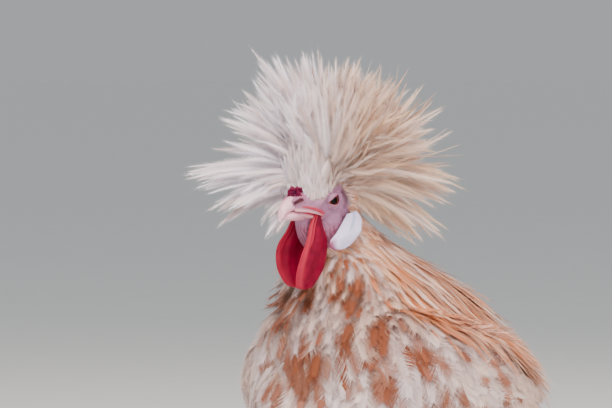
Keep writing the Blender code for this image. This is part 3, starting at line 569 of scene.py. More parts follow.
def eye_ellipse(q, side):
    """Distance from the middle of an eye, where 1 is about the edge of its tilted opening."""
    tilt = math.radians(30.0)
    back, high = q[:, 1] - EYE_SHIFT[1], q[:, 2] - EYE_SHIFT[2]
    long = back * math.cos(tilt) + high * math.sin(tilt)
    high = -back * math.sin(tilt) + high * math.cos(tilt)
    far = np.hypot(long / LID_LENGTH, high / LID_HEIGHT)
    return np.where(q[:, 0] * side > 0, far, 9.0)


def line_distance(q, *stops):
    """Distance from a line through points of the side view, y and z."""
    found = []
    for start, end in zip(stops, stops[1:]):
        start, end = np.array(start), np.array(end)
        way = end - start
        share = np.clip(((q[:, 1:] - start) @ way) / (way @ way), 0.0, 1.0)
        found.append(np.linalg.norm(q[:, 1:] - start - share[:, None] * way, axis=1))
    return np.min(found, axis=0)


# Level rings of bare skin under the beak: height, middle, half width and half depth, from the eyes
THROAT = [
    (-0.0080, -0.0095, 0.0078, 0.0120), (-0.0150, -0.0080, 0.0068, 0.0125), (-0.0230, -0.0040, 0.0074, 0.0125),
    (-0.0300, 0.0030, 0.0088, 0.0115), (-0.0350, 0.0120, 0.0100, 0.0120),
]
JAW = [
    (0.0000, 0.0060, 0.0110, 0.0090), (-0.0070, 0.0058, 0.0136, 0.0118), (-0.0140, 0.0060, 0.0140, 0.0128),
    (-0.0220, 0.0078, 0.0132, 0.0130), (-0.0290, 0.0116, 0.0118, 0.0118), (-0.0350, 0.0190, 0.0100, 0.0100),
]
# Slit of the nostril in the side view, from the eyes
NOSTRIL = ((-0.0310, 0.0002), (-0.0262, 0.0021))


def nostril_swell(side):
    """The raised soft skin round one nostril."""
    lean = np.linspace(0.0, math.pi, 62)[1:-1]
    levels = EYES + np.array((side * 0.0031, -0.0266, 0.0016)) - BACK * (0.0060 * np.cos(lean))[:, None]
    levels = levels - UP * (0.0020 * np.cos(lean))[:, None]
    wide, high = 0.0027 * np.sin(lean) ** 0.8, 0.0030 * np.sin(lean) ** 0.8
    return closed_loft(rings_round(levels, X, UP, wide, high, high, 60))


def bare_forms():
    """The finely modelled bare skin, with what its points carry: its shape, then blood, fold (painted shade in
    creases, hollows and the nostrils) and pale.

    It has the brow, the nostrils, the hollows round the eyes, the lips, and the folds of cheek and throat.
    """
    head = closed_loft(upright_rings(HEAD_RINGS, 170, 260))
    under = [closed_loft(level_rings(THROAT, 110, 150)), closed_loft(level_rings(JAW, 110, 170))]
    points, faces = joined([head] + under + [nostril_swell(side) for side, _ in SIDES])
    q = points - EYES
    ahead = 0.35 * np.minimum(q[:, 1] + 0.006, 0.0)
    out = unit(np.stack([q[:, 0], ahead, q[:, 2] * (q[:, 2] > -0.013)], 1) + 1e-7)
    push = np.zeros(len(q))
    for side, _ in SIDES:
        far = eye_ellipse(q, side)
        push -= 0.0019 * (1.0 - ease(1.3, 2.5, far))
        push -= 0.0045 * (1.0 - ease(0.85, 1.15, far))
    brow = line_distance(q, (0.0075, 0.0098), (-0.0015, 0.0062), (-0.0130, -0.0008))
    push += 0.0019 * np.exp(-((brow / 0.0024) ** 2))
    mouth = line_distance(q, (-0.0300, -0.0058), (-0.0212, -0.0067), (-0.0084, -0.0094))
    push -= 0.0010 * np.exp(-((mouth / 0.0005) ** 2))
    push += 0.0008 * np.exp(-(((mouth - 0.0013) / 0.0006) ** 2))
    slit = line_distance(q, *NOSTRIL)
    aside = ease(0.0020, 0.0034, np.abs(q[:, 0]))
    push -= 0.0011 * np.exp(-((slit / 0.0008) ** 2)) * aside
    push += 0.0006 * np.exp(-(((slit - 0.0015) / 0.0007) ** 2)) * aside
    stripe = line_distance(q, (-0.0262, -0.0019), (-0.0158, -0.0040), (-0.0074, -0.0073))
    stripe = stripe / (0.35 + 0.65 * ease(-0.0285, -0.0150, q[:, 1]) * ease(-0.0050, -0.0095, q[:, 1]))
    push += 0.0005 * np.exp(-((stripe / 0.0010) ** 2))
    cheek = np.exp(-(((q[:, 2] + 0.0105) / 0.0075) ** 2)) * ease(-0.012, -0.004, q[:, 1])
    low = ease(-0.012, -0.018, q[:, 2])
    folds = np.sin(q[:, 2] / 0.0013 * 2 * math.pi + 1.9 * wavy(q, 0.012, 4) + 0.8 * q[:, 1] / 0.004)
    drapes = np.sin(q[:, 0] / 0.0019 * 2 * math.pi + 2.0 * wavy(q, 0.009, 6))
    push += 0.00015 * folds * cheek + 0.00030 * drapes * low * ease(0.006, -0.004, q[:, 1])
    push += 0.00016 * wavy(q, 0.0026, 5) * ease(0.03, 0.02, q[:, 1])
    near_comb = np.exp(-((np.linalg.norm(q - np.array((0.0, -0.024, 0.008)), axis=1) / 0.007) ** 2))
    blood = np.exp(-((stripe / 0.0011) ** 2))
    blood = blood + 0.9 * np.exp(-((mouth / 0.0006) ** 2)) * ease(-0.026, -0.022, q[:, 1])
    blood = np.clip(blood + 0.45 * near_comb + 0.22 * np.exp(-((mouth / 0.003) ** 2)) + 0.15 * low, 0, 1)
    pale = np.exp(-(((mouth - 0.0016) / 0.0010) ** 2)) * (stripe > 0.0008) * ease(-0.005, -0.010, q[:, 1])
    # Painted shade in the troughs of the wrinkles and along the brow, under its overhang
    fold = 0.16 * cheek * (folds < -0.4) + 0.38 * low * (drapes < -0.3) + 0.3 * (brow < 0.0009)
    # A darker band along the edge of the feathers: partly their stubble, partly painted shadow of the feathers
    edge = face_edge(q[:, 2]) - q[:, 1]
    margin = 0.45 * np.exp(-((edge / 0.0035) ** 2)) * ease(-0.012, -0.004, q[:, 2])
    fold = fold + margin * ease(0.010, 0.006, q[:, 2])
    # Painted shade in the hollow fold behind the eye
    corner = line_distance(q, (0.0085, 0.0070), (0.0115, 0.0020), (0.0105, -0.0035))
    fold = fold + 0.55 * np.exp(-((corner / 0.0018) ** 2))
    # Painted shade: the nostril's slit is darkened
    fold = np.clip(fold + 2.2 * np.exp(-((slit / 0.0010) ** 2)), 0, 1)
    return points + out * push[:, None], faces, blood, fold, np.clip(pale, 0, 1)


def lid_ring(side):
    """The lids round one eye: a rounded rim on the eyeball, an overhanging brow above, fine folds below."""
    turns, steps = 144, 26
    centre, look, back, rise = eye_frame(side)
    angle = np.linspace(0.0, 2 * math.pi, turns, endpoint=False)
    opening = np.interp(np.degrees(angle), *np.array(LID_EDGE, float).T, period=360.0)
    for _ in range(3):
        opening = (np.roll(opening, 1) + opening + np.roll(opening, -1)) / 3.0
    aim = np.cos(angle)[:, None] * back + np.sin(angle)[:, None] * rise
    above = np.clip(np.cos(angle - math.radians(112.0)), 0.0, 1.0)
    below = np.clip(np.cos(angle + math.radians(75.0)), 0.0, 1.0)
    rings = []
    for step in range(steps):
        share = step / (steps - 1)
        rim = math.exp(-(((share - 0.09) / 0.08) ** 2))
        radius = EYE_RADIUS + 0.0001 + 0.0008 * min(1.0, share / 0.06) + 0.00045 * rim
        radius = radius + 0.0010 * above * math.exp(-(((share - 0.22) / 0.16) ** 2))
        radius = radius + 0.00026 * below * math.sin(share * 34.0) * min(1.0, share * 4.0) * (1.0 - share)
        lean = np.arcsin(np.minimum(opening / radius, 0.98))
        lean = lean + (math.radians(86.0) - lean) * share
        ring = centre + aim * (radius * np.sin(lean))[:, None]
        rings.append(ring + look * (radius * np.cos(lean))[:, None])
    points = np.array(rings).reshape(-1, 3)
    share = np.repeat(np.linspace(0.0, 1.0, steps), turns)
    low = np.tile(below, steps)
    blood = 0.34 * np.exp(-(((share - 0.08) / 0.07) ** 2)) * (0.5 + 0.5 * low)
    # Painted shade at the lid's edge against the eyeball, and in the troughs of the folds below
    fold = np.clip(0.95 * np.exp(-((share / 0.035) ** 2)) + 0.40 * low * (np.sin(share * 34.0) < -0.5), 0, 1)
    pale = 0.45 * np.exp(-(((share - 0.12) / 0.05) ** 2)) * low
    return points, grid_triangles(steps, turns), blood, fold, pale


def make_skin(bed_parts):
    """The whole skin in one piece: body under the coat, with the fine face, throat and lids on its front."""
    points, faces = melted(bed_parts)
    fine = [bare_forms()] + [lid_ring(side) for side, _ in SIDES]
    whole = joined([(points, faces)] + [part[:2] for part in fine])
    zeros = np.zeros(len(points))
    blood, fold, pale = (np.concatenate([zeros] + [part[i] for part in fine]) for i in (2, 3, 4))
    cream, rust = markings(whole[0])
    place_piece(
        "skin", *whole, skin_finish(), "face_skin", ["torso", "neck", "head", "thigh_left", "thigh_right"],
        blood=blood, fold=fold, pale=pale, cream=cream, rust=rust, coated=1.0 - bare_face(whole[0] - EYES),
    )
    return tree_of(points, faces), (points, faces), whole


def bare_face(q):
    """1 on the bare skin of the face and throat, 0 under feathers, measured from the eyes."""
    under = ease(0.0012, -0.0002, q[:, 2] - crest_edge(q[:, 1]))
    ahead = ease(0.0012, -0.0012, q[:, 1] - face_edge(q[:, 2]))
    return under * ahead * ease(-0.0360, -0.0330, q[:, 2])


def markings(points):
    """How cream and how rust the plumage is at each place: the same for the skin and the coat."""
    p = points - HOME
    q = points - EYES
    toward_left = q @ np.array((0.82, 0.57, 0.0))
    on_neck = ease(0.30, 0.335, p[:, 2]) * ease(0.012, -0.03, q[:, 2])
    back = ease(-0.075, 0.0, p[:, 1])
    cream = 0.25 + 0.35 * back + 0.25 * ease(-0.02, 0.05, toward_left) * on_neck + 0.15 * wavy(p, 0.05, 1)
    rust = 0.26 + 0.24 * on_neck + 0.08 * back + 0.35 * wavy(p, 0.022, 2)
    throat = np.exp(-(((q[:, 2] + 0.058) / 0.022) ** 2)) * ease(-0.03, -0.05, p[:, 1])
    rust = rust + 0.5 * throat
    return np.clip(cream, 0, 1), np.clip(rust, 0, 1)


# Eyes, beak, comb, wattles and lobes

def make_eye(side, word, finish):
    """An eyeball that looks outwards and a little ahead, with the bulge of its cornea."""
    turns, steps = 64, 40
    centre, look, across, rise = eye_frame(side)
    lean = np.linspace(0.0, math.pi, steps + 2)[1:-1]
    angle = np.linspace(0.0, 2 * math.pi, turns, endpoint=False)
    radius = EYE_RADIUS - 0.0002 + 0.0005 * np.exp(-((lean / 0.60) ** 4))
    flat = np.cos(angle)[None, :, None] * across + np.sin(angle)[None, :, None] * rise
    rings = centre + flat * (radius * np.sin(lean))[:, None, None]
    rings = rings + look * (radius * np.cos(lean))[:, None, None]
    points, faces = closed_loft(rings, centre + look * (EYE_RADIUS + 0.0003), centre - look * EYE_RADIUS)
    offset = points - centre
    gaze = np.linalg.norm(offset - (offset @ look)[:, None] * look, axis=1) * 1000.0
    gaze = np.where(offset @ look > 0, gaze, 6.0)
    place_piece(f"eyeball_{word}", points, faces, finish, "eye_gloss", [f"eye_{word}"], gaze=gaze)


# Rings of both halves of the beak, as upright_rings takes them, and the places of their tips, from the eyes
UPPER_BEAK = [
    (-0.0200, 0.0010, 0.0056, 0.0050, 0.0064),
    (-0.0270, 0.0003, 0.0051, 0.0048, 0.0056),
    (-0.0325, -0.0010, 0.0046, 0.0042, 0.0046),
    (-0.0370, -0.0030, 0.0036, 0.0034, 0.0042),
    (-0.0398, -0.0062, 0.0024, 0.0030, 0.0034),
    (-0.0408, -0.0094, 0.0013, 0.0018, 0.0020),
]
LOWER_BEAK = [
    (-0.0190, -0.0085, 0.0064, 0.0026, 0.0036),
    (-0.0270, -0.0080, 0.0056, 0.0026, 0.0034),
    (-0.0325, -0.0079, 0.0042, 0.0024, 0.0030),
    (-0.0355, -0.0082, 0.0022, 0.0016, 0.0018),
]
UPPER_BEAK_TIP = np.array((0.0, -0.0404, -0.0122))
LOWER_BEAK_TIP = np.array((0.0, -0.0370, -0.0084))


def make_beak(finish):
    """Both halves of the beak: hooked tip, pits behind the nostrils, and a sharp cutting edge."""
    points, faces = closed_loft(upright_rings(UPPER_BEAK, 90, 96), last=EYES + UPPER_BEAK_TIP)
    q = points - EYES
    out = unit(np.stack([q[:, 0], np.zeros(len(q)), q[:, 2] + 0.002], 1))
    aside = ease(0.0008, 0.0024, np.abs(q[:, 0]))
    pit = np.exp(-((line_distance(q, *NOSTRIL) / 0.0014) ** 2)) * aside
    flank = np.interp(q[:, 1], [-0.041, -0.035, -0.027], [-0.007, 0.0, 0.001])
    points[:, 0] *= 1.0 - 0.30 * ease(-0.001, 0.006, q[:, 2] - flank)
    edge = np.exp(-(((q[:, 2] + 0.0062 + 0.30 * np.maximum(0.0, -q[:, 1] - 0.034)) / 0.0008) ** 2))
    points = points + out * (-0.0030 * pit + 0.0004 * edge)[:, None]
    # Darker horn in the pits behind the nostrils: painted shade
    rim = np.clip(ease(-0.022, -0.034, q[:, 1]) - 1.4 * pit, 0, 1)
    place_piece("beak_top", points, faces, finish, "beak_horn", ["beak_upper"], rim=rim)
    points, faces = closed_loft(upright_rings(LOWER_BEAK, 60, 72), last=EYES + LOWER_BEAK_TIP)
    rim = ease(-0.022, -0.036, (points - EYES)[:, 1])
    place_piece("beak_bottom", points, faces, finish, "beak_horn", ["beak_lower"], rim=rim)


def swept(path, radii, count, sides):
    """Rings of a round limb along a smooth path."""
    shares = np.linspace(0.0, 1.0, count)
    centres = smooth_rows(path, shares)
    along = unit(smooth_rows(path, shares + 0.02) - smooth_rows(path, shares - 0.02))
    guide = np.where(np.abs(along[:, 2:]) < 0.8, UP, BACK)
    across = unit(np.cross(along, guide))
    radius = smooth_rows([(r,) for r in radii], shares)[:, 0]
    return rings_round(centres, across, np.cross(across, along), radius, radius, radius, sides)


# The left horn of the comb and the warts at its foot, from the eyes: middles, and the radius of each wart
COMB_HORN = [
    (0.0018, -0.0228, 0.0024), (0.0026, -0.0244, 0.0046), (0.0033, -0.0256, 0.0066), (0.0037, -0.0262, 0.0084),
]
COMB_WARTS = [
    (0.0044, -0.0230, 0.0052, 0.0014), (0.0030, -0.0272, 0.0046, 0.0010), (0.0052, -0.0208, 0.0064, 0.0017),
    (0.0010, -0.0282, 0.0050, 0.0012), (0.0050, -0.0246, 0.0046, 0.0009), (0.0042, -0.0262, 0.0042, 0.0008),
    (0.0056, -0.0190, 0.0074, 0.0016), (0.0040, -0.0226, 0.0084, 0.0019), (0.0050, -0.0212, 0.0080, 0.0017),
    (0.0022, -0.0244, 0.0092, 0.0016), (0.0008, -0.0264, 0.0066, 0.0014), (0.0012, -0.0262, 0.0086, 0.0014),
]


def make_comb(side, word, finish):
    """One of the two small fleshy horns of the comb, with warts round its foot."""
    flip = np.array((side, 1.0, 1.0))
    parts = [closed_loft(swept(np.array(COMB_HORN) * flip + EYES, [0.0028, 0.0023, 0.0016, 0.0006], 48, 40))]
    lean = np.linspace(0.0, math.pi, 16)[1:-1]
    for x, y, z, size in COMB_WARTS:
        levels = EYES + np.array((side * x, y, z)) - BACK * (size * np.cos(lean))[:, None]
        radius = size * np.sin(lean)
        parts.append(closed_loft(rings_round(levels, X, UP, radius, radius, radius, 20)))
    points, faces = joined(parts)
    out = unit(points - (EYES + np.array((side * 0.0045, -0.0260, 0.0060))))
    points = points + out * (0.00030 * wavy(points, 0.0016, 8))[:, None]
    # Paler towards the tops of the horns: painted highlight
    rim = ease(0.008, 0.012, points[:, 2] - EYES[2]) * 0.35
    place_piece(f"comb_horn_{word}", points, faces, finish, "red_flesh", [f"comb_{word}"], rim=rim)


# Every flap has as many rings and sides, and is as thick
FLAP_RINGS = 110
FLAP_SIDES = 96
FLAP_THICKNESS = 0.0013


def hanging_flap(path, widths, breadth, waves, front_roll, ridge):
    """A hanging flap of flesh with soft folds, rolled edge and front ridge: points, faces and rims."""
    shares = np.linspace(0.0, 1.0, FLAP_RINGS)
    centres = smooth_rows(path, shares) + EYES
    half = smooth_rows([(w,) for w in widths], shares)[:, 0]
    half = half * np.where(shares > 0.9, np.sqrt(np.clip(1.0 - ((shares - 0.9) / 0.1) ** 2, 0.0, 1.0)), 1.0)
    half = np.maximum(half, 0.0004)
    face_way = unit(np.cross(breadth, UP))
    angle = np.linspace(0.0, 2 * math.pi, FLAP_SIDES, endpoint=False)
    along, thick = np.cos(angle), np.sin(angle)
    thick = np.sign(thick) * np.abs(thick) ** 0.7
    down = shares[:, None]
    front = np.exp(-(((along[None] + 0.84 - 0.10 * down) / (0.10 + 0.10 * down)) ** 2))
    second = 0.9 * np.exp(-(((along[None] + 0.42 + 0.55 * down) / 0.09) ** 2)) * ease(0.62, 0.30, down)
    front = np.maximum(front, second)
    body = FLAP_THICKNESS * (1.0 - 0.35 * np.abs(along) ** 4)
    fold = waves * np.sin(along[None] * 5.0 + down * 4.0) * np.minimum(1.0, 3.0 * down)
    fold += 0.16 * waves * np.sin(along[None] * 13.0 + down * 9.0)
    cup = front_roll * (np.abs(along[None]) ** 2.5) * np.minimum(1.0, 2.0 * down)
    fade = (1.0 - 0.75 * ease(0.55, 1.0, shares))[:, None]
    depth = body[None] + ridge * front * fade
    offset = thick[None] * depth * np.minimum(1.0, half / FLAP_THICKNESS)[:, None] + fold + cup
    rings = centres[:, None] + breadth * (half[:, None] * along[None])[..., None]
    rings = rings + face_way * offset[..., None]
    # The finish paints the raised front ridge and the edges paler: painted highlight
    rim = np.clip(front * (1.0 - 0.4 * down) * (ridge > 0) + 0.5 * np.abs(along[None]) ** 10, 0, 1).ravel()
    return *closed_loft(rings), np.concatenate([rim, [0.0, 1.0]])


# The middle lines of the wattles and of the left lobe, from the eyes
LEFT_WATTLE = [
    (0.0085, -0.0115, -0.0075), (0.0088, -0.0124, -0.0150), (0.0100, -0.0130, -0.0240),
    (0.0098, -0.0150, -0.0330), (0.0080, -0.0168, -0.0430), (0.0060, -0.0185, -0.0510),
    (0.0050, -0.0200, -0.0560),
]
RIGHT_WATTLE = [
    (-0.0075, -0.0110, -0.0085), (-0.0085, -0.0128, -0.0180), (-0.0105, -0.0142, -0.0270),
    (-0.0112, -0.0136, -0.0350), (-0.0100, -0.0128, -0.0440), (-0.0075, -0.0120, -0.0520),
    (-0.0060, -0.0112, -0.0560),
]
LOBE = [
    (0.0168, 0.0164, -0.0075), (0.0192, 0.0125, -0.0130), (0.0205, 0.0080, -0.0180),
    (0.0207, 0.0044, -0.0220), (0.0196, 0.0030, -0.0262), (0.0182, 0.0034, -0.0306),
]


def make_wattles(finish):
    """The pair of wattles: broad hanging flaps, each ridged down its front from the corner of the mouth."""
    for word, path, widths, way, roll, ridge in (
        ("left", LEFT_WATTLE, [0.0036, 0.0064, 0.0102, 0.0122, 0.0126, 0.0098, 0.0070], (0.10, 1.0, 0.0),
         -0.0012, 0.0012),
        ("right", RIGHT_WATTLE, [0.0030, 0.0058, 0.0092, 0.0106, 0.0108, 0.0090, 0.0060], (0.50, 0.87, 0.0),
         0.0003, 0.0004),
    ):
        points, faces, rim = hanging_flap(path, widths, unit(np.array(way)), 0.0005, roll, ridge)
        # The far wattle's rim starts at 0.12: painted light that lightens it all over against the near wattle's
        # shade
        rim = 0.8 * rim if word == "left" else 0.12 + 0.3 * rim
        place_piece(f"wattle_flesh_{word}", points, faces, finish, "red_flesh", [f"wattle_{word}"], rim=rim)


def lobe_finish():
    """The enamel-white lobe: smooth dense skin, bluish in its crease and darker there as painted shade,
    purple-red at its lower front edge.
    """
    made, tree, shader = new_finish(
        "lobe_skin", Roughness=0.5, IOR=1.4, Subsurface_Weight=0.2, Subsurface_Scale=0.003
    )
    crease, blood = (
        add_node(tree, "ShaderNodeAttribute", attribute_name=word).outputs["Fac"]
        for word in ("crease", "blood")
    )
    place = add_node(tree, "ShaderNodeTexCoord").outputs["Object"]
    cloud = add_node(tree, "ShaderNodeTexNoise", {"Vector": place, "Scale": 220.0, "Detail": 4.0})
    colour = hex_colour("#e6dcfc")
    # Bluish in the crease, and darker there as painted shade
    for share, code in ((cloud.outputs[0], "#cbc2ea"), (crease, "#93a8c4"), (blood, "#99406c")):
        colour = add_node(
            tree, "ShaderNodeMix", {0: share, 6: colour, 7: hex_colour(code)}, data_type="RGBA"
        ).outputs[2]
    tree.links.new(colour, shader.inputs["Base Color"])
    bump = add_node(tree, "ShaderNodeBump", {"Height": cloud.outputs[0], "Strength": 0.7, "Distance": 0.0010})
    tree.links.new(bump.outputs[0], shader.inputs["Normal"])
    return made


def make_lobes(finish):
    """The two folded lobes below the ears."""
    turn = np.linspace(0, 2 * math.pi, FLAP_SIDES, endpoint=False)
    share = np.concatenate([np.repeat(np.linspace(0, 1, FLAP_RINGS), FLAP_SIDES), [0.0, 1.0]])
    along = np.concatenate([np.tile(np.cos(turn), FLAP_RINGS), [0.0, 0.0]])
    line = along - 0.10 + 0.45 * (share - 0.4)
    crease = np.exp(-((line / 0.16) ** 2)) * ease(0.62, 0.30, share)
    blood = ease(-0.45, -0.95, along) * ease(0.45, 0.75, share)
    for side, word in SIDES:
        path = np.array(LOBE) * np.array((side, 1.0, 1.0))
        breadth = unit(np.array((side * 0.42, 0.87, 0.24)))
        widths = [0.0038, 0.0078, 0.0098, 0.0116, 0.0100, 0.0060]
        points, faces, _ = hanging_flap(path, widths, breadth, 0.00025, -0.0008 * side, 0.0)
        points = points - X * side * (0.0008 * crease)[:, None]
        place_piece(
            f"lobe_{word}", points, faces, finish, "white_lobe", [f"earlobe_{word}"],
            crease=np.clip(0.75 * crease, 0, 1), blood=blood,
        )


# Feathers

def along_line(rows, shares):
    """Values at shares along lines, given as line, station and number. Past 1 a line runs straight on."""
    spans = rows.shape[1] - 1
    place = np.clip(shares, 0.0, 1.4) * spans
    i = np.minimum(place.astype(int), spans - 1)
    u = place - i
    if i.ndim == 1:
        return rows[:, i] * (1 - u)[None, :, None] + rows[:, i + 1] * u[None, :, None]
    n = np.arange(len(rows))[:, None]
    return rows[n, i] * (1 - u)[..., None] + rows[n, i + 1] * u[..., None]


def lance(share):
    """Relative width of a narrow pointed feather."""
    return np.clip(np.sin(math.pi * np.clip(share, 0, 1) ** 0.62), 0, 1) ** 0.7


def spoon(share):
    """Relative width of a body feather with a rounded end."""
    return np.clip(np.sin(math.pi * (0.10 + 0.78 * np.clip(share, 0, 1) ** 0.9)), 0, 1) ** 0.6


def strap(share):
    """Relative width of a flight or tail feather: parallel sides and a rounded end."""
    s = np.clip(share, 0, 1)
    rounded = np.sqrt(np.clip(1.0 - (np.maximum(0.0, s - 0.86) / 0.16) ** 2, 0, 1))
    return np.minimum(1.0, (0.25 + 3.2 * s)) * rounded


BARB_SPACING = 0.0007
LOOK_WORDS = ("cream", "rust", "rust_tip", "rust_wide", "rust_stripe", "tone", "root_down_and_shade")


def barbed(
    lines, wide_ways, ups, half, looks, rng, barbs, outline, reach, droop=0.18, core=0.5, shaft=0.0, thin=1.0
):
    """Feathers with a barb to each side at every step of the shaft.

    lines, wide_ways and ups hold the centre line of each feather, the way of its width and the way
    out from the body. outline gives the relative width along the feather, and half its half width in
    metres. Barbs run on by reach, a share of the feather, and sink by droop of their own length.
    core is the share of the width that is a closed vane under the barbs, and shaft the half width of
    a raised quill. thin is the share of a step that the foot of a barb takes. looks holds root_uv
    and, for each feather, every one of LOOK_WORDS.
    """
    n = len(lines)
    half = np.broadcast_to(np.asarray(half, float), (n,))
    base = np.linspace(0.02, 0.985, barbs + 1)
    root = (base[:-1] + base[1:]) / 2
    feet = [base[:-1], base[:-1] + thin * (base[1:] - base[:-1])]
    tips, tip_along, tip_tone = [], [], []
    for side in (-1.0, 1.0):
        run = root[None] + reach * (1.0 - 0.45 * root[None]) * rng.uniform(0.75, 1.2, (n, barbs))
        width = half[:, None] * outline(root)[None] * rng.uniform(0.72, 1.10, (n, barbs))
        place = along_line(lines, run)
        place = place + along_line(wide_ways, np.clip(run, 0, 1)) * (side * width)[..., None]
        lift = (-droop * width + rng.uniform(-0.0003, 0.0004, (n, barbs)))[..., None]
        tips.append(place + along_line(ups, np.clip(run, 0, 1)) * lift)
        tip_along.append(run)
        tip_tone.append(rng.normal(0.0, 0.05, (n, barbs)))
    flat = np.zeros((n, barbs))
    points = [along_line(lines, feet[0]), along_line(lines, feet[1]), tips[0], tips[1]]
    along = [np.tile(feet[0], (n, 1)), np.tile(feet[1], (n, 1)), tip_along[0], tip_along[1]]
    across = [flat, flat, flat - 1, flat + 1]
    tone = [flat, flat, tip_tone[0], tip_tone[1]]
    j = np.arange(barbs)
    triangles = [
        np.stack([j, barbs + j, 2 * barbs + j], 1),
        np.stack([barbs + j, j, 3 * barbs + j], 1),
    ]
    start = 4 * barbs
    if core:
        steps = (lines.shape[1] + 1) // 2 + 1
        share = np.linspace(0.0, 0.97, steps)
        middle = along_line(lines, share) - along_line(ups, share) * 0.00018
        wide = along_line(wide_ways, share) * (core * half[:, None] * outline(share)[None])[..., None]
        low = along_line(ups, share) * (core * droop * half[:, None] * outline(share)[None])[..., None]
        points += [middle - wide - low, middle, middle + wide - low]
        along += [np.tile(share, (n, 1))] * 3
        across += [np.full((n, steps), -core), np.zeros((n, steps)), np.full((n, steps), core)]
        tone += [rng.normal(0.0, 0.02, (n, steps)) - 0.03] * 3
        k = np.arange(steps - 1)
        for column in (0, steps):
            a = start + column + k
            triangles += [np.stack([a, a + 1, a + steps + 1], 1), np.stack([a, a + steps + 1, a + steps], 1)]
        start += 3 * steps
    if shaft:
        steps = (lines.shape[1] + 1) // 2 + 1
        share = np.linspace(0.0, 0.98, steps)
        middle = along_line(lines, share) + along_line(ups, share) * 0.00022
        wide = along_line(wide_ways, share) * (shaft * (1.1 - share))[None, :, None]
        points += [middle - wide, middle + wide]
        along += [np.tile(share, (n, 1))] * 2
        across += [np.full((n, steps), -0.05), np.full((n, steps), 0.05)]
        tone += [np.full((n, steps), 0.05)] * 2
        a = start + np.arange(steps - 1)
        triangles += [np.stack([a, a + 1, a + steps + 1], 1), np.stack([a, a + steps + 1, a + steps], 1)]
    points, along, across, tone = (np.concatenate(values, 1) for values in (points, along, across, tone))
    faces = (np.concatenate(triangles)[None] + (np.arange(n) * points.shape[1])[:, None, None]).reshape(-1, 3)
    look = {word: np.broadcast_to(np.asarray(looks[word], float), (n,))[:, None] for word in LOOK_WORDS}
    ragged = along + rng.normal(0.0, 0.06, along.shape)
    wide = look["rust_wide"]
    aside = np.abs(across)
    rust = look["rust"] + look["rust_tip"] * ease(0.36, 0.62, ragged) * ease(wide + 0.3, wide - 0.1, aside)
    rust = rust + look["rust_stripe"] * ease(0.75, 0.25, aside) * ease(0.1, 0.3, along)
    long = np.linalg.norm(np.diff(lines, axis=1), axis=2).sum(1)[:, None]
    uv = looks["root_uv"][:, None] + np.stack([across * 0.0015, (along - 0.5) * 0.003], -1)
    return {
        "points": points.reshape(-1, 3),
        "faces": faces,
        "cream": np.clip(look["cream"] + 0 * along, 0, 1).ravel(),
        "rust": np.clip(rust, 0, 1).ravel(),
        # Darker towards the root: partly grey down, partly painted shade where the feather meets the skin
        "root_down_and_shade": np.clip(look["root_down_and_shade"] * ease(0.55, 0.0, along), 0, 1).ravel(),
        "tone": (look["tone"] + tone).ravel(),
        "barb": ((along - reach * aside) * long / BARB_SPACING).ravel(),
        "uv": uv.reshape(-1, 2),
    }


def coat_piece(name, batches, finish, slot, nodes=()):
    """One joined mesh of feathers, with what their finish reads and the map for baking."""
    points, faces = joined([(batch["points"], batch["faces"]) for batch in batches])
    marks = {word: np.concatenate([batch[word] for batch in batches]) for word in FEATHER_WORDS}
    mesh = place_piece(name, points, faces, finish, slot, nodes, **marks)
    uv = np.concatenate([batch["uv"] for batch in batches])
    layer = mesh.uv_layers.new(name="OFBake")
    layer.data.foreach_set("uv", np.ascontiguousarray(uv[faces.ravel()], np.float32).ravel())
    print(name, "triangles", len(faces))


def scattered(surface, wanted, spacing, rng):
    """Roots spread evenly over the part of a surface where wanted is above chance: places and ways out."""
    points, faces = surface
    corners = points[faces]
    cross = np.cross(corners[:, 1] - corners[:, 0], corners[:, 2] - corners[:, 0])
    area = np.linalg.norm(cross, axis=1) / 2
    weight = area * np.clip(wanted(corners.mean(1)), 0, 1)
    count = int(7 * weight.sum() / spacing**2)
    pick = rng.choice(len(faces), count, p=weight / weight.sum())
    u, v = rng.random(count), rng.random(count)
    over = u + v > 1
    u[over], v[over] = 1 - u[over], 1 - v[over]
    a, b, c = corners[pick].transpose(1, 0, 2)
    places = a + (b - a) * u[:, None] + (c - a) * v[:, None]
    cells = np.floor(places / (spacing * 1.2)).astype(np.int64)
    key = (cells[:, 0] * 4001 + cells[:, 1]) * 4001 + cells[:, 2]
    middle = (cells + 0.5) * spacing * 1.2
    order = np.lexsort((np.linalg.norm(places - middle, axis=1), key))
    first = np.unique(key[order], return_index=True)[1]
    kept = np.sort(order[first])
    return places[kept], unit(cross[pick[kept]])


def draped(tree, places, outs, headings, lengths, stations, low, high, rng, bend=0.0, late=1.0):
    """Centre lines laid over the skin from their roots, as lines, width ways and ups.

    They rise from low to high over the skin, later with a higher late, and bend turns them down on their way.
    """
    n = len(places)
    lengths = np.broadcast_to(np.asarray(lengths, float), (n,))
    high = np.broadcast_to(np.asarray(high, float), (n,)) * rng.uniform(0.7, 1.25, n)
    way = unit(headings - outs * (headings * outs).sum(1, keepdims=True))
    turn = rng.normal(0.0, 0.10, n)[:, None]
    way = unit(way + np.cross(outs, way) * turn)
    lines, ups, widths = [], [], []
    place, out = places, outs
    for k in range(stations):
        share = k / (stations - 1)
        if k:
            ahead = place + way * (lengths / (stations - 1))[:, None]
            new, fresh = nearest(tree, ahead)
            out = unit(out + fresh)
            step = new - place
            flat = unit(step - out * (step * out).sum(1, keepdims=True))
            way = unit(0.5 * way + 0.5 * flat - UP * bend * share)
            place = new
        lift = low + (high - low) * share**late
        lines.append(place + out * lift[:, None])
        ups.append(out)
        widths.append(unit(np.cross(out, way)))
    roll = rng.normal(0.0, 0.12, n)[:, None, None]
    ups, widths = np.stack(ups, 1), np.stack(widths, 1)
    return np.stack(lines, 1), unit(widths + ups * roll), ups


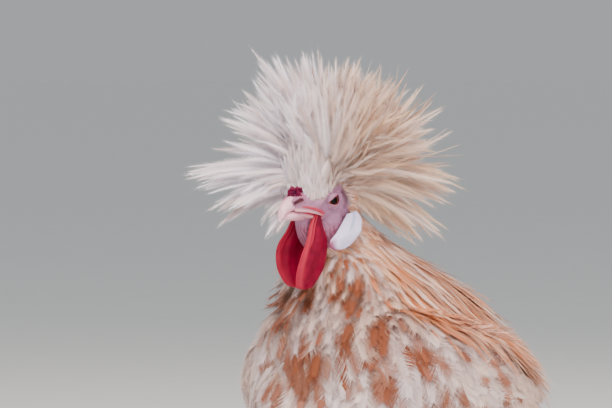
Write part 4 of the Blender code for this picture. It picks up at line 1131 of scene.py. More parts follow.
def unkinked(lines):
    """Which centre lines run on smoothly, without folding back where the skin turns sharply."""
    steps = np.diff(lines, axis=1)
    long = np.linalg.norm(steps, axis=2).sum(1)
    ways = unit(steps)
    turns = (ways[:, 1:] * ways[:, :-1]).sum(2).min(1)
    return (np.linalg.norm(lines[:, -1] - lines[:, 0], axis=1) > 0.88 * long) * (turns > 0.5)


def unwrapped(points, centre, axis, low, high):
    """Places unrolled round an axis into a square: Y for body and tail, and Z for neck, crest and thighs."""
    offset = points - centre
    if axis == "Y":
        turn, height = np.arctan2(offset[:, 0], offset[:, 2]), offset[:, 1]
    else:
        turn, height = np.arctan2(offset[:, 0], -offset[:, 1]), offset[:, 2]
    down = np.clip((height - low) / (high - low), 0, 1)
    return np.stack([turn / (2 * math.pi) + 0.5, down], 1) * 0.98 + 0.01


def coat_lie(points):
    """The way feathers lie at each place: down neck and breast, back along the body, down the thigh."""
    p = points - HOME
    q = points - EYES
    sign = np.sign(p[:, 0])[:, None] * np.minimum(1.0, np.abs(p[:, :1]) / 0.02)
    axis_y = np.interp(-q[:, 2], [0.0, 0.03, 0.06, 0.11], [0.020, 0.040, 0.062, 0.088])
    out = unit(np.stack([q[:, 0], q[:, 1] - axis_y, np.zeros(len(q))], 1))
    caped = ease(-0.006, 0.006, q[:, 1] - hackle_edge(q[:, 2]))[:, None]
    low = ease(-0.045, -0.085, q[:, 2])[:, None]
    hackle = (sign * X * 0.50 + BACK * 0.22 - UP * 0.80) * (1 - low)
    hackle = hackle + (sign * X * 0.30 + BACK * 0.80 - UP * 0.52) * low
    neck = unit(out * 0.5 - UP) * (1 - caped) + unit(hackle) * caped
    breast = unit(sign * X * 0.18 + BACK * 0.10 - UP)
    body = unit(sign * X * 0.10 + BACK * 0.90 - UP * 0.42)
    thigh = unit(BACK * 0.15 - UP)
    behind = ease(-0.080, -0.020, p[:, 1])[:, None]
    way = breast * (1 - behind) + body * behind
    high = np.maximum(ease(0.305, 0.335, p[:, 2]), ease(0.275, 0.295, p[:, 2]) * caped[:, 0])[:, None]
    way = way * (1 - high) + neck * high
    leg = (ease(0.185, 0.160, p[:, 2]) * (np.abs(p[:, 0]) > 0.015))[:, None]
    way = unit(way) + 0.22 * np.cross(out, way) * wavy(p, 0.030, 12)[:, None]
    return unit(way * (1 - leg) + thigh * leg)


# The photograph's own view: a millimetre scale at the eye, and the ways right, up and towards the camera
VIEW_TURN = math.radians(35.0)
VIEW_RISE = math.radians(3.0)
VIEW_RIGHT = np.array((math.cos(VIEW_TURN), math.sin(VIEW_TURN), 0.0))
TOWARDS = np.array((
    math.sin(VIEW_TURN) * math.cos(VIEW_RISE), -math.cos(VIEW_TURN) * math.cos(VIEW_RISE), math.sin(VIEW_RISE)
))
VIEW_UP = np.cross(TOWARDS, VIEW_RIGHT)
PUPIL = EYES + X * 0.0147
PUPIL_PIXEL = (335.0, 202.0)
PHOTO_WIDE, PHOTO_HIGH = 612, 408
METRES_PER_PIXEL = 0.00065


def at_pixel(x, y, nearer):
    """The place seen at a pixel of the photograph, so much nearer to the camera than the pupil."""
    side = (np.asarray(x) - PUPIL_PIXEL[0]) * METRES_PER_PIXEL
    rise = (PUPIL_PIXEL[1] - np.asarray(y)) * METRES_PER_PIXEL
    place = PUPIL + side[..., None] * VIEW_RIGHT + rise[..., None] * VIEW_UP
    return place + np.asarray(nearer)[..., None] * TOWARDS


def pixels_of(points):
    """Where points show in the photograph, x and y in pixels."""
    q = points - PUPIL
    x = PUPIL_PIXEL[0] + q @ VIEW_RIGHT / METRES_PER_PIXEL
    y = PUPIL_PIXEL[1] - q @ VIEW_UP / METRES_PER_PIXEL
    return np.stack([x, y], 1)


# Rust blotches of the breast: middle, half width and half height in pixels of the photograph
BREAST_MARKS = [
    (337, 286, 6, 11), (355, 298, 8, 12), (378, 333, 10, 12), (352, 338, 6, 9), (423, 349, 9, 6),
    (431, 365, 10, 5), (308, 363, 5, 12), (293, 367, 6, 12), (314, 390, 6, 10), (344, 363, 5, 6),
    (366, 360, 4, 8), (345, 380, 4, 7), (357, 375, 3, 8), (389, 383, 8, 15), (336, 390, 4, 8),
    (367, 396, 4, 4), (378, 396, 4, 10), (453, 400, 12, 7), (432, 404, 10, 6), (278, 400, 5, 8),
    (273, 363, 3, 5), (270, 390, 5, 4), (284, 330, 5, 20), (277, 307, 6, 14), (308, 296, 6, 12),
    (299, 396, 6, 8), (322, 352, 4, 6), (463, 375, 4, 4), (306, 330, 3, 5), (320, 330, 3, 5), (264, 373, 3, 6),
]


def loose_spots(points):
    """Blotches strewn at random: 1 inside and 0 outside."""
    return ease(0.05, 0.45, wavy((points - HOME) * np.array((1.0, 1.0, 0.6)), 0.016, 5))


def breast_spots(points):
    """1 inside the breast's blotches, 0 outside, and random ones below the photograph's lower edge."""
    pixels = pixels_of(points)
    marks = np.array(BREAST_MARKS, float)
    apart = (((pixels[:, None] - marks[None, :, :2]) / marks[None, :, 2:]) ** 2).sum(2).min(1)
    below = ease(PHOTO_HIGH, PHOTO_HIGH + 10.0, pixels[:, 1])
    return ease(3.0, 1.3, apart) * (1 - below) + loose_spots(points) * below


def looks_at(
    places, uv, rng, cream=0.0, tip=0.0, tip_chance=0.0, stripe=0.0, stripe_chance=0.0, rust=0.0, root_down_and_shade=0.5,
    spots=None,
):
    """What each feather's points carry: the plumage's own colours there, with marks on a share of the tips, and
    a darker root that is partly painted shade.
    """
    ground_cream, ground_rust = markings(places)
    n = len(places)
    if spots is None:
        spots = loose_spots(places)
        chance = np.clip(tip_chance * (0.30 + 0.6 * ground_rust + 1.1 * spots), 0, 1)
    else:
        chance = np.clip(0.13 + 0.85 * spots, 0, 1)
    return {
        "root_uv": uv,
        "cream": ground_cream + cream + rng.normal(0.0, 0.12, n) + 0.35 * spots,
        "rust": np.clip(ground_rust - 0.45, 0, 1) * 0.55 + rust,
        "rust_tip": tip * (rng.random(n) < chance) * np.maximum(rng.uniform(0.5, 1.1, n), 0.9 * spots),
        "rust_wide": np.maximum(rng.uniform(0.35, 1.3, n), 1.1 * spots),
        "rust_stripe": stripe * (rng.random(n) < stripe_chance) * rng.uniform(0.4, 1.1, n),
        "tone": rng.normal(0.0, 0.05, n),
        "root_down_and_shade": np.full(n, root_down_and_shade),
    }


def region(name):
    """How far each place belongs to a part of the coat, from 0 to 1."""
    def wanted(points):
        p, q = points - HOME, points - EYES
        under_crest = ease(0.010, 0.002, q[:, 2])
        behind_face = ease(0.0, 0.002, q[:, 1] - face_edge(q[:, 2]))
        behind_face = np.maximum(behind_face, ease(-0.030, -0.033, q[:, 2]))
        neck = ease(0.298, 0.312, p[:, 2]) * under_crest * behind_face
        # The cape starts farther back on the right, where breast feathers make the photograph's outline
        back_by = 0.014 * ease(0.0, -0.020, q[:, 0]) * ease(-0.030, -0.045, q[:, 2])
        cape = ease(-0.004, 0.004, q[:, 1] - hackle_edge(q[:, 2]) - back_by)
        leg = ease(0.182, 0.172, p[:, 2]) * (np.abs(p[:, 0]) > 0.012)
        front = ease(-0.030, -0.042, p[:, 1])
        body = (1.0 - ease(0.298, 0.312, p[:, 2])) * (1 - leg)
        if name == "cape":
            return neck * cape
        if name == "breast":
            return np.maximum(body * front, neck * (1.0 - cape))
        if name == "back":
            return body * (1 - front) * ease(0.195, 0.205, p[:, 2])
        if name == "belly":
            return body * (1 - front) * (1 - ease(0.195, 0.205, p[:, 2]))
        return leg
    return wanted


# The axis round which the body's map is unrolled, and where it starts and ends
BODY_MAP = (HOME + np.array((0.0, 0.0, 0.240)), "Y", HOME[1] - 0.13, HOME[1] + 0.15)


def make_body_coat(tree, surface, finish):
    """Breast, belly, back and thighs: soft feathers, loose barbs over a closed vane, some with rust tips."""
    plan = [
        # Name, region, spacing, length, half width, barbs, lift of the tips, chance of a rust tip
        ("breast_down", "breast", 0.0050, 0.024, 0.0070, 18, 0.0016, 0.10),
        ("breast_feathers", "breast", 0.0054, 0.034, 0.0086, 36, 0.0052, 0.60),
        ("belly_feathers", "belly", 0.0056, 0.030, 0.0080, 22, 0.0044, 0.12),
        ("back_feathers", "back", 0.0048, 0.028, 0.0066, 24, 0.0044, 0.42),
        ("thigh_feathers", "thigh", 0.0038, 0.016, 0.0040, 14, 0.0030, 0.16),
    ]
    for number, (name, part, spacing, length, half, barbs, high, chance) in enumerate(plan):
        rng = np.random.default_rng(20 + number)
        places, outs = scattered(surface, region(part), spacing, rng)
        n = len(places)
        grow = rng.uniform(0.85, 1.15, n)
        raised = np.full(n, high)
        p, q = places - HOME, places - EYES
        if part == "thigh":
            grow = grow * (0.55 + 0.45 * ease(0.098, 0.135, p[:, 2]))
        if part == "breast":
            # Short under the face, ruffled up round the throat and sleek over the crop
            grow = grow * (0.42 + 0.58 * ease(-0.030, -0.080, q[:, 2]))
            ruffled = np.exp(-(((q[:, 2] + 0.042) / 0.020) ** 2)) * ease(0.062, 0.034, q[:, 1])
            raised = raised + 0.0135 * ruffled
            sleek = 0.0030 * np.exp(-(((q[:, 2] + 0.080) / 0.020) ** 2)) * ease(0.010, -0.020, q[:, 0])
            raised = raised - sleek
        if part == "back":
            # Full over the left shoulder, and flat where the wing lies
            x, y, z = p.T
            raised = raised + 0.0070 * (ease(0.262, 0.285, z) * ease(0.075, 0.050, y) * ease(-0.010, 0.030, x))
            winged = ease(0.044, 0.054, np.abs(x)) * ease(-0.092, -0.078, y) * ease(0.130, 0.110, y)
            raised = raised * (1.0 - 0.85 * winged * ease(0.300, 0.288, z))
        raised = raised * np.clip(grow, 0.7, 1.0)
        shape = draped(tree, places, outs, coat_lie(places), length * grow, 6, -0.0006, raised, rng)
        kept = unkinked(shape[0])
        lines, wide_ways, ups, places, grow = (values[kept] for values in (*shape, places, grow))
        uv = unwrapped(places, *BODY_MAP)
        if part == "thigh":
            uv = unwrapped(places, HOME + np.array((0.0, 0.02, 0.14)), "Z", -0.05, 0.05)
        spots = breast_spots(lines[:, -2]) if part == "breast" else None
        looks = looks_at(places, uv, rng, tip=1.0, tip_chance=chance, root_down_and_shade=0.30, spots=spots)
        batch = barbed(
            lines, wide_ways, ups, half * grow, looks, rng, barbs, spoon,
            reach=0.36, droop=0.10, core=0.34, thin=0.75,
        )
        coat_piece(name, [batch], finish, "body_feathers")


def make_neck_coat(tree, surface, finish):
    """The cape of hackles: long narrow feathers that fall from nape and neck over the shoulders."""
    for number, (name, side) in enumerate((("cape_left", 1.0), ("cape_right", -1.0))):
        rng = np.random.default_rng(40 + number)
        batches = []

        def half_neck(points):
            return region("cape")(points) * ((points[:, 0] - HOME[0]) * side > 0)

        # Down under the hackles, then two thicknesses of the hackles themselves
        for layer, (spacing, stretch, low, high) in enumerate((
            (0.0036, 0.45, -0.0010, 0.0030), (0.0038, 0.90, -0.0008, 0.0080), (0.0038, 1.06, 0.0, 0.0140),
        )):
            places, outs = scattered(surface, half_neck, spacing, rng)
            q = places - EYES
            n = len(places)
            down = ease(0.000, 0.060, -q[:, 2])
            long = (0.024 + 0.050 * down) * stretch * rng.uniform(0.8, 1.12, n)
            long = long * (0.38 + 0.62 * ease(0.000, 0.024, q[:, 1] - hackle_edge(q[:, 2])))
            half = (0.0022 + 0.0016 * down) * rng.uniform(0.85, 1.15, n)
            raised = high * (0.20 + 0.80 * down**1.5) * (1.0 if side > 0 else 0.6)
            lines, wide_ways, ups = draped(
                tree, places, outs, coat_lie(places), long, 8, low, raised, rng, bend=0.05, late=1.7
            )
            uv = unwrapped(places, EYES + BACK * 0.04, "Z", -0.10, 0.01)
            looks = looks_at(
                places, uv, rng, cream=0.05, tip=0.6, tip_chance=0.40,
                stripe=1.0, stripe_chance=0.66 if layer else 0.5, root_down_and_shade=0.12,
            )
            batches.append(barbed(lines, wide_ways, ups, half, looks, rng, 26, lance, reach=0.15, thin=0.7))
        coat_piece(name, batches, finish, "hackle_feathers")


def make_saddle(tree, finish):
    """Long narrow feathers that hang from the back over the root of the tail and the ends of the wings."""
    rng = np.random.default_rng(50)
    batches = []
    # Each row: how far back, count, length, and degrees to each side of the spine
    for y, count, long, round_to in (
        (0.020, 34, 0.050, 44), (0.036, 40, 0.060, 48), (0.054, 46, 0.066, 58), (0.074, 48, 0.066, 74),
        (0.092, 40, 0.060, 84),
    ):
        turn = np.radians(np.linspace(-round_to, round_to, count) + rng.uniform(-2, 2, count))
        row = np.full(count, y) + rng.uniform(-0.006, 0.006, count)
        aside = np.sin(turn)
        places, outs = nearest(tree, HOME + np.stack([0.08 * aside, row, 0.205 + 0.09 * np.cos(turn)], 1))
        headings = np.stack([0.35 * aside, np.full(count, 0.9), -0.35 - 0.25 * np.abs(aside)], 1)
        lengths = long * rng.uniform(0.85, 1.15, count)
        lines, wide_ways, ups = draped(
            tree, places, outs, headings, lengths, 7, 0.0004, 0.0058, rng, bend=0.08
        )
        uv = unwrapped(places, *BODY_MAP)
        looks = looks_at(
            places, uv, rng, cream=0.1, tip=0.5, tip_chance=0.4, stripe=0.9, stripe_chance=0.6, root_down_and_shade=0.3
        )
        batches.append(barbed(lines, wide_ways, ups, 0.0034, looks, rng, 22, lance, reach=0.14, core=0.55))
    coat_piece("saddle_hackles", batches, finish, "body_feathers")


def make_wing(side, word, tree, finish):
    """The folded wing from below up: primaries, secondaries, the wing bar, then rows of small coverts."""
    rng = np.random.default_rng(60 + (side > 0))
    batches = []

    def tier(ys, zs, drop, long, half, barbs, outline, low, high, stations=7, **marks):
        n = len(ys)
        ys = ys + rng.uniform(-0.0015, 0.0015, n)
        places, outs = nearest(tree, HOME + np.stack([np.full(n, side * 0.10), ys, zs], 1))
        heading = np.array((side * 0.02, math.cos(math.radians(drop)), -math.sin(math.radians(drop))))
        lengths = long * rng.uniform(0.95, 1.05, n)
        lines, wide_ways, ups = draped(
            tree, places, outs, np.tile(heading, (n, 1)), lengths, stations, low, high, rng
        )
        uv = unwrapped(places, *BODY_MAP)
        looks = looks_at(places, uv, rng, root_down_and_shade=0.25, **marks)
        soft = outline is spoon
        batches.append(barbed(
            lines, wide_ways, ups, half, looks, rng, barbs, outline, reach=0.32 if soft else 0.10,
            droop=0.14 if soft else 0.22, core=0.55 if soft else 0.92, shaft=0.0 if soft else 0.0004,
        ))

    share = np.linspace(0.0, 1.0, 4)
    tier(0.004 + 0.006 * share, 0.196 + 0.012 * share, 22, 0.120, 0.0078, 46, strap, 0.0006, 0.0026, cream=0.2)
    share = np.linspace(0.0, 1.0, 9)
    tier(
        0.010 + 0.020 * share, 0.214 + 0.056 * share, 24, 0.096 - 0.026 * share, 0.0086, 40, strap,
        0.0010, 0.0042, cream=0.25, tip=0.8, tip_chance=0.5, stripe=0.35, stripe_chance=0.5,
    )
    tier(
        -0.022 + 0.016 * share, 0.212 + 0.064 * share, 25, 0.052, 0.0080, 26, strap,
        0.0016, 0.0058, stations=5, cream=0.2, tip=0.95, tip_chance=0.8,
    )
    # Rows of coverts: how far back, lowest and highest root, count and length
    for row, (y, low_z, high_z, count, long) in enumerate((
        (-0.036, 0.214, 0.290, 15, 0.032), (-0.042, 0.214, 0.294, 17, 0.029),
        (-0.048, 0.216, 0.298, 17, 0.027), (-0.054, 0.220, 0.300, 17, 0.026),
        (-0.060, 0.226, 0.302, 17, 0.024), (-0.066, 0.233, 0.302, 16, 0.023),
        (-0.072, 0.241, 0.300, 14, 0.022), (-0.078, 0.250, 0.297, 12, 0.021),
        (-0.084, 0.259, 0.293, 9, 0.020),
    )):
        share = np.linspace(0.0, 1.0, count)
        tier(
            y + 0.010 * share + 0.002 * (row % 2), low_z + (high_z - low_z) * share, 28, long, 0.0056, 20,
            spoon, 0.0014, 0.0052, stations=5, cream=0.1, tip=0.95, tip_chance=0.55,
        )
    coat_piece(f"wing_feathers_{word}", batches, finish, "wing_feathers", [f"wing_{word}"])


TAIL_ROOT = HOME + np.array((0.0, 0.134, 0.203))
TAIL_PITCH = math.radians(-13.0)


def free_lines(paths, facing):
    """Lines, width ways and ups of feathers that stand in the air. facing is the way their flat side looks."""
    along = unit(np.gradient(paths, axis=1))
    wide = unit(np.cross(along, np.broadcast_to(facing, paths.shape)))
    return paths, wide, unit(np.cross(wide, along))


def make_tail(finish):
    """The low folded tail: ten broad feathers, two curved sickles, smaller sickles, coverts at the roots."""
    rng = np.random.default_rng(70)
    share = np.linspace(0.0, 1.0, 12)[None, :, None]
    batches = []

    def fan(
        side, pitch, yaw, root_out, length, half, sag, roll, outline, barbs, low_root=0.0, inside=0.012,
        **marks,
    ):
        pitch, yaw, root_out, length, sag, roll = np.broadcast_arrays(pitch, yaw, root_out, length, sag, roll)
        aim = np.stack([side * np.sin(yaw) * np.cos(pitch), np.cos(yaw) * np.cos(pitch), np.sin(pitch)], 1)
        rise = 0.018 * np.sin(pitch - TAIL_PITCH) + low_root
        start = TAIL_ROOT + np.stack([side * root_out, np.full(len(pitch), -inside), rise], 1)
        paths = start[:, None] + aim[:, None] * (length[:, None, None] * share)
        paths = paths - UP * (sag[:, None, None] * share**2)
        facing = np.stack([side * np.sin(roll), np.zeros(len(roll)), np.cos(roll)], 1)[:, None]
        lines, wide_ways, ups = free_lines(paths, facing)
        uv = unwrapped(start + aim * 0.01, TAIL_ROOT, "Y", -0.02, 0.02)
        looks = looks_at(start, uv, rng, root_down_and_shade=0.3, **marks)
        batches.append(barbed(
            lines, wide_ways, ups, half, looks, rng, barbs, outline,
            reach=0.07, droop=0.16, core=0.93, shaft=0.0005,
        ))

    for side, _ in SIDES:
        # The broad feathers, the sickle and the smaller sickles
        k = np.arange(5)
        fan(
            side, TAIL_PITCH + np.radians(8.0 - 7.0 * k), np.radians(3.0 + 2.8 * k), 0.0040, 0.168 - 0.004 * k,
            0.0135, 0.010 + 0.002 * k, np.radians(30.0 + 7.0 * k), strap, 60, cream=0.15,
        )
        fan(
            side, np.radians(np.array((2.0,))), math.radians(6.0), 0.006, 0.245, 0.0105, 0.115,
            math.radians(42.0), lance, 90, cream=0.1, rust=0.05,
        )
        k = np.arange(3)
        fan(
            side, np.radians(2.0 - 9.0 * k), np.radians(12.0 + 5.0 * k), 0.0100 + 0.0012 * k, 0.150 - 0.018 * k,
            0.0085, 0.060 - 0.006 * k, np.radians(48.0 + 6.0 * k), lance, 50,
            cream=0.1, stripe=0.5, stripe_chance=0.6,
        )
        # Three layers of coverts, and soft feathers over their roots
        for lay, (count, long, half) in enumerate((
            (11, 0.085, 0.0085), (14, 0.062, 0.0080), (16, 0.046, 0.0074),
        )):
            u = np.linspace(0.0, 1.0, count)
            fan(
                side, np.radians(2.0 - 40.0 * u + 3.0 * lay),
                np.radians(4.0 + 20.0 * np.sin(math.pi * u) + 4.0 * lay),
                0.004 + 0.010 * np.sin(math.pi * (0.1 + 0.8 * u)), long * rng.uniform(0.9, 1.1, count), half,
                0.018 + 0.006 * lay, np.radians(20.0 + 95.0 * u), strap, 30, low_root=0.012 - 0.026 * u,
                cream=0.2, tip=0.5, tip_chance=0.4,
            )
        u = np.tile(np.linspace(0.0, 1.0, 13), 2)
        fan(
            side, np.radians(6.0 - 46.0 * u), np.radians(6.0 + 22.0 * np.sin(math.pi * u)),
            0.004 + 0.020 * np.sin(math.pi * (0.08 + 0.84 * u)), 0.062 * rng.uniform(0.85, 1.15, 26), 0.0075,
            0.010, np.radians(20.0 + 110.0 * u), spoon, 30, low_root=0.020 - 0.044 * u, inside=0.030,
            cream=0.1, tip=0.8, tip_chance=0.5,
        )
    coat_piece("tail_feathers", batches, finish, "tail_feathers", ["tail"])


# Crest

# The knob of bone on the skull that carries the crest: its middle from the eyes, and its half sizes
KNOB_AT = np.array((0.0, 0.014, 0.031))
KNOB = np.array((0.023, 0.026, 0.019))

# The long tips that stand out of the crest, in the photograph's pixels. The first CREST_ROUND of them go
# round it from the lower left over the top to the right
CREST_TIPS = [
    (278, 234), (267, 236), (260, 222), (244, 208), (223, 209), (217, 225), (213, 207), (207, 179), (184, 175),
    (222, 118), (233, 111), (255, 100), (240, 106), (255, 74), (262, 59), (276, 53), (290, 65), (303, 52),
    (306, 53), (322, 56), (349, 64), (369, 73), (379, 85), (399, 91), (389, 108), (413, 121), (417, 130),
    (430, 149), (461, 181), (453, 189), (448, 201), (445, 204), (441, 236), (426, 235), (422, 241), (401, 237),
    (383, 228), (196, 172), (203, 190), (409, 112), (441, 168), (436, 218), (296, 60), (313, 60), (268, 66),
]
CREST_ROUND = 37
CREST_MIDDLE = np.array((312.0, 172.0))
FILL_COUNT = 560
# Tips left of the first column stand nearer, and those right of the second and below the row farther off
NEAR_COLUMN = 300.0
FAR_COLUMN, FAR_ROW = 345.0, 170.0
CHEEK_TIPS = np.array([
    (281, 203), (277, 198), (272, 192), (268, 186), (264, 180), (260, 174), (284, 196), (279, 188), (273, 180),
], float)


def crest_colours(tips, rng):
    """White with a lilac cast on the bird's right, cream on its left and behind, some brown streaks."""
    side = (tips - EYES) @ VIEW_RIGHT
    cream = ease(-0.030, 0.050, side) * 0.70 + rng.normal(0.05, 0.14, len(tips))
    rust = np.clip(rng.normal(0.0, 0.04, len(tips)), 0, 1)
    streaked = rng.random(len(tips)) < 0.05 + 0.18 * ease(-0.01, 0.04, side)
    return cream, rust, streaked * rng.uniform(0.3, 0.8, len(tips))


def crest_batch(paths, facing, half, rng, barbs, reach, core, root_down_and_shade=0.10, shaft=0.0003, thin=0.75):
    """Feathers of the crest along these paths."""
    lines, wide_ways, ups = free_lines(paths, facing)
    cream, rust, stripe = crest_colours(paths[:, -1], rng)
    roots = paths[:, 0]
    n = len(roots)
    looks = {
        "root_uv": unwrapped(roots, EYES + KNOB_AT, "Z", -0.04, 0.02),
        "cream": cream,
        "rust": rust,
        "rust_tip": 0.25 * (rng.random(n) < 0.15),
        "rust_wide": 1.0,
        "rust_stripe": stripe,
        "tone": rng.normal(0.0, 0.04, n),
        "root_down_and_shade": root_down_and_shade,
    }
    return barbed(
        lines, wide_ways, ups, half, looks, rng, barbs, lance,
        reach=reach, droop=0.10, core=core, shaft=shaft, thin=thin,
    )


def crest_growth(places, outs, rng):
    """Paths of the feathers that root at these places of the head.

    In front they stand up against each other from the brow. To the sides and behind they spread out and sink.
    They grow from a few millimetres at the edge of the face to the full length on the knob.
    """
    q = places - EYES
    n = len(q)
    away = unit(np.stack([q[:, 0] * 1.25, q[:, 1] - 0.011, np.zeros(n)], 1) + 1e-6)
    front = ease(0.15, 0.85, -away[:, 1])
    high = np.clip((q[:, 2] - 0.004) / 0.044 + rng.normal(0.0, 0.11, n), 0.0, 1.0)
    over = np.clip(q[:, 2] - crest_edge(q[:, 1]), 0.0, None)
    grown = ease(-0.003, 0.019, over)
    full = 0.036 + 0.018 * (1.0 - high) * front + 0.044 * (1.0 - high) ** 0.7 * (1.0 - front)
    length = 0.0055 + (full - 0.0055) * grown * rng.uniform(0.62, 1.12, n)
    fan = 0.16 + 0.55 * ease(0.002, 0.020, np.abs(q[:, 0])) * (1.0 - high)
    standing = away * fan[:, None] + UP
    spread = away * (1.05 - 0.85 * high**1.5)[:, None] + UP * (0.22 + 0.95 * high)[:, None]
    clump = np.stack([wavy(places, 0.011, seed) for seed in (31, 32, 33)], 1) * 0.30
    aim = spread * (1.0 - front)[:, None] + standing * front[:, None]
    aim = unit(aim + rng.normal(0.0, 0.14, (n, 3)) + clump * grown[:, None])
    sink = (0.05 + 0.40 * (1.0 - high) * (1.0 - front)) * rng.uniform(0.1, 1.5, n) * length * grown
    share = np.linspace(0.0, 1.0, 9)[None, :, None]
    lead = places[:, None] + unit(outs * 0.55 + aim)[:, None] * (length * 0.46)[:, None, None]
    paths = places[:, None] * (1 - share) ** 2 + lead * 2 * share * (1 - share)
    paths = paths + (places + aim * length[:, None])[:, None] * share**2 - UP * sink[:, None, None] * share**2
    sway = np.cross(aim, UP) * (rng.normal(0.0, 0.10, n) * length)[:, None]
    paths = paths + sway[:, None] * share**2
    facing = unit(outs * 0.8 + away * 0.6 + UP * 0.35 + rng.normal(0.0, 0.30, (n, 3)))
    return paths, facing[:, None], grown


def make_crest(surface, finish):
    """The crest: an upright white front, a cream fall to the sides and back, and loose long tips."""
    rng = np.random.default_rng(80)
    for name, spacing, part, nodes in (
        ("crest_front", 0.00140, 1.0, ["crest"]), ("crest_back", 0.00160, -1.0, []),
    ):
        def rooted(points):
            q = points - EYES
            split = (-(q[:, 1] - 0.012) * part > 0)
            return (q[:, 2] > crest_edge(q[:, 1]) - 0.0012) * (q[:, 1] > -0.0230) * split * (q[:, 1] < 0.045)

        places, outs = scattered(surface, rooted, spacing, rng)
        order = rng.permutation(len(places))
        places, outs = places[order], outs[order]
        paths, facing, grown = crest_growth(places, outs, rng)
        half = (0.0016 + 0.0034 * grown) * rng.uniform(0.75, 1.15, len(places))
        batches = [crest_batch(paths, facing, half, rng, 30, reach=0.13, core=0.26, thin=0.6)]
        # A shorter, broader and looser growth under it fills the mop; its darker roots are partly painted shade
        places, outs = scattered(surface, rooted, spacing * 1.5, rng)
        paths, facing, grown = crest_growth(places, outs, rng)
        paths = paths[:, :1] + (paths - paths[:, :1]) * rng.uniform(0.45, 0.8, len(places))[:, None, None]
        half = (0.0018 + 0.0042 * grown) * rng.uniform(0.8, 1.2, len(places))
        batches.append(crest_batch(paths, facing, half, rng, 18, reach=0.22, core=0.5, root_down_and_shade=0.35, shaft=0.0))
        coat_piece(name, batches, finish, "crest_feathers", nodes)

    # Five long loose feathers to each tip, and the shorter growth that fills the mop between them
    tips = np.array(CREST_TIPS, float)
    long = np.repeat(tips, 5, axis=0)
    long = long + rng.uniform(-5.0, 5.0, long.shape) * np.tile([0.0, 1.0, 1.0, 2.0, 2.5], len(tips))[:, None]
    which = rng.integers(0, CREST_ROUND - 1, FILL_COUNT)
    share = rng.random(FILL_COUNT)[:, None]
    fill = (1 - share) * tips[which] + share * tips[which + 1] - CREST_MIDDLE
    fill = CREST_MIDDLE + fill * rng.uniform(0.45, 0.90, FILL_COUNT)[:, None]
    start = EYES + np.array((0.0, 0.010, 0.016))
    batches = []
    for ends, low, high, barbs, half in (
        (long, -0.040, -0.006, 80, 0.0047), (fill, -0.040, 0.002, 44, 0.0062),
    ):
        nearer = rng.uniform(low, high, len(ends)) + 0.010 * (ends[:, 0] < NEAR_COLUMN)
        nearer = nearer - 0.022 * (ends[:, 0] > FAR_COLUMN) * (ends[:, 1] > FAR_ROW)
        ends = at_pixel(ends[:, 0], ends[:, 1], nearer)
        batches.append(loose_feathers(start, ends, half, barbs, rng))
    # White fluff on the far cheek, seen past the beak
    ends = np.repeat(CHEEK_TIPS, 9, axis=0)
    ends = ends + rng.uniform(-3.5, 3.5, ends.shape)
    ends = at_pixel(ends[:, 0], ends[:, 1], rng.uniform(-0.014, 0.001, len(ends)))
    batches.append(loose_feathers(EYES + np.array((-0.011, 0.000, 0.014)), ends, 0.0040, 26, rng, 0.006))
    coat_piece("crest_tips", batches, finish, "crest_feathers")


def loose_feathers(start, ends, half, barbs, rng, rooted=0.018):
    """Feathers that spring from round one place, a little way out from it, and bow over to their ends."""
    count = len(ends)
    way = unit(ends - start)
    roots = start + way * rooted
    span = np.linalg.norm(ends - roots, axis=1)[:, None]
    lift = UP * rng.uniform(0.15, 0.50, count)[:, None]
    bend = roots + unit(way + lift + rng.normal(0, 0.08, (count, 3))) * span * 0.52
    t = np.linspace(0.0, 1.0, 10)[None, :, None]
    paths = roots[:, None] * (1 - t) ** 2 + bend[:, None] * 2 * t * (1 - t) + ends[:, None] * t**2
    facing = unit(TOWARDS * 0.8 + UP * 0.5 + rng.normal(0.0, 0.30, (count, 3)))[:, None]
    half = half * rng.uniform(0.75, 1.25, count)
    return crest_batch(paths, facing, half, rng, barbs, reach=0.12, core=0.25, thin=0.45)


def make_face_edge(tree, surface, finish):
    """The smallest feathers: round the ear, behind the eye and at the throat's edge, dark at their roots,
    partly grey down and partly painted shade.
    """
    rng = np.random.default_rng(90)

    def rooted(points):
        q = points - EYES
        over = q[:, 1] - face_edge(q[:, 2])
        behind = ease(0.0, 0.0015, over) * ease(0.016, 0.010, over)
        below = ease(-0.0290, -0.0305, q[:, 2]) * ease(-0.052, -0.046, q[:, 2])
        return np.maximum(behind * (q[:, 2] < crest_edge(q[:, 1])) * (q[:, 2] > -0.040), below)

    places, outs = scattered(surface, rooted, 0.0018, rng)
    q = places - EYES
    n = len(q)
    far = np.clip(q[:, 1] - face_edge(q[:, 2]), 0.0, 0.016)
    long = (0.0045 + 0.60 * far) * rng.uniform(0.8, 1.2, n)
    sink = -0.25 - 12.0 * np.clip(-q[:, 2], 0, 0.05)
    headings = unit(np.stack([np.sign(q[:, 0]) * 0.25, np.full(n, 0.75), sink], 1))
    shape = draped(tree, places, outs, headings, long, 5, 0.0, 0.0020, rng)
    kept = unkinked(shape[0])
    lines, wide_ways, ups, places, q, far = (values[kept] for values in (*shape, places, q, far))
    dark = np.exp(-((np.hypot(q[:, 1] - 0.016, q[:, 2] + 0.002) / 0.009) ** 2))
    looks = looks_at(
        places, unwrapped(places, EYES + BACK * 0.01, "Z", -0.055, 0.01), rng, cream=0.2, rust=0.30 * dark,
        tip=0.6, tip_chance=0.35, stripe=0.7, stripe_chance=0.3, root_down_and_shade=0.7,
    )
    batch = barbed(lines, wide_ways, ups, 0.0009 + 0.10 * far, looks, rng, 9, lance, reach=0.25, core=0.3)
    coat_piece("face_edge_feathers", [batch], finish, "hackle_feathers")


# Legs

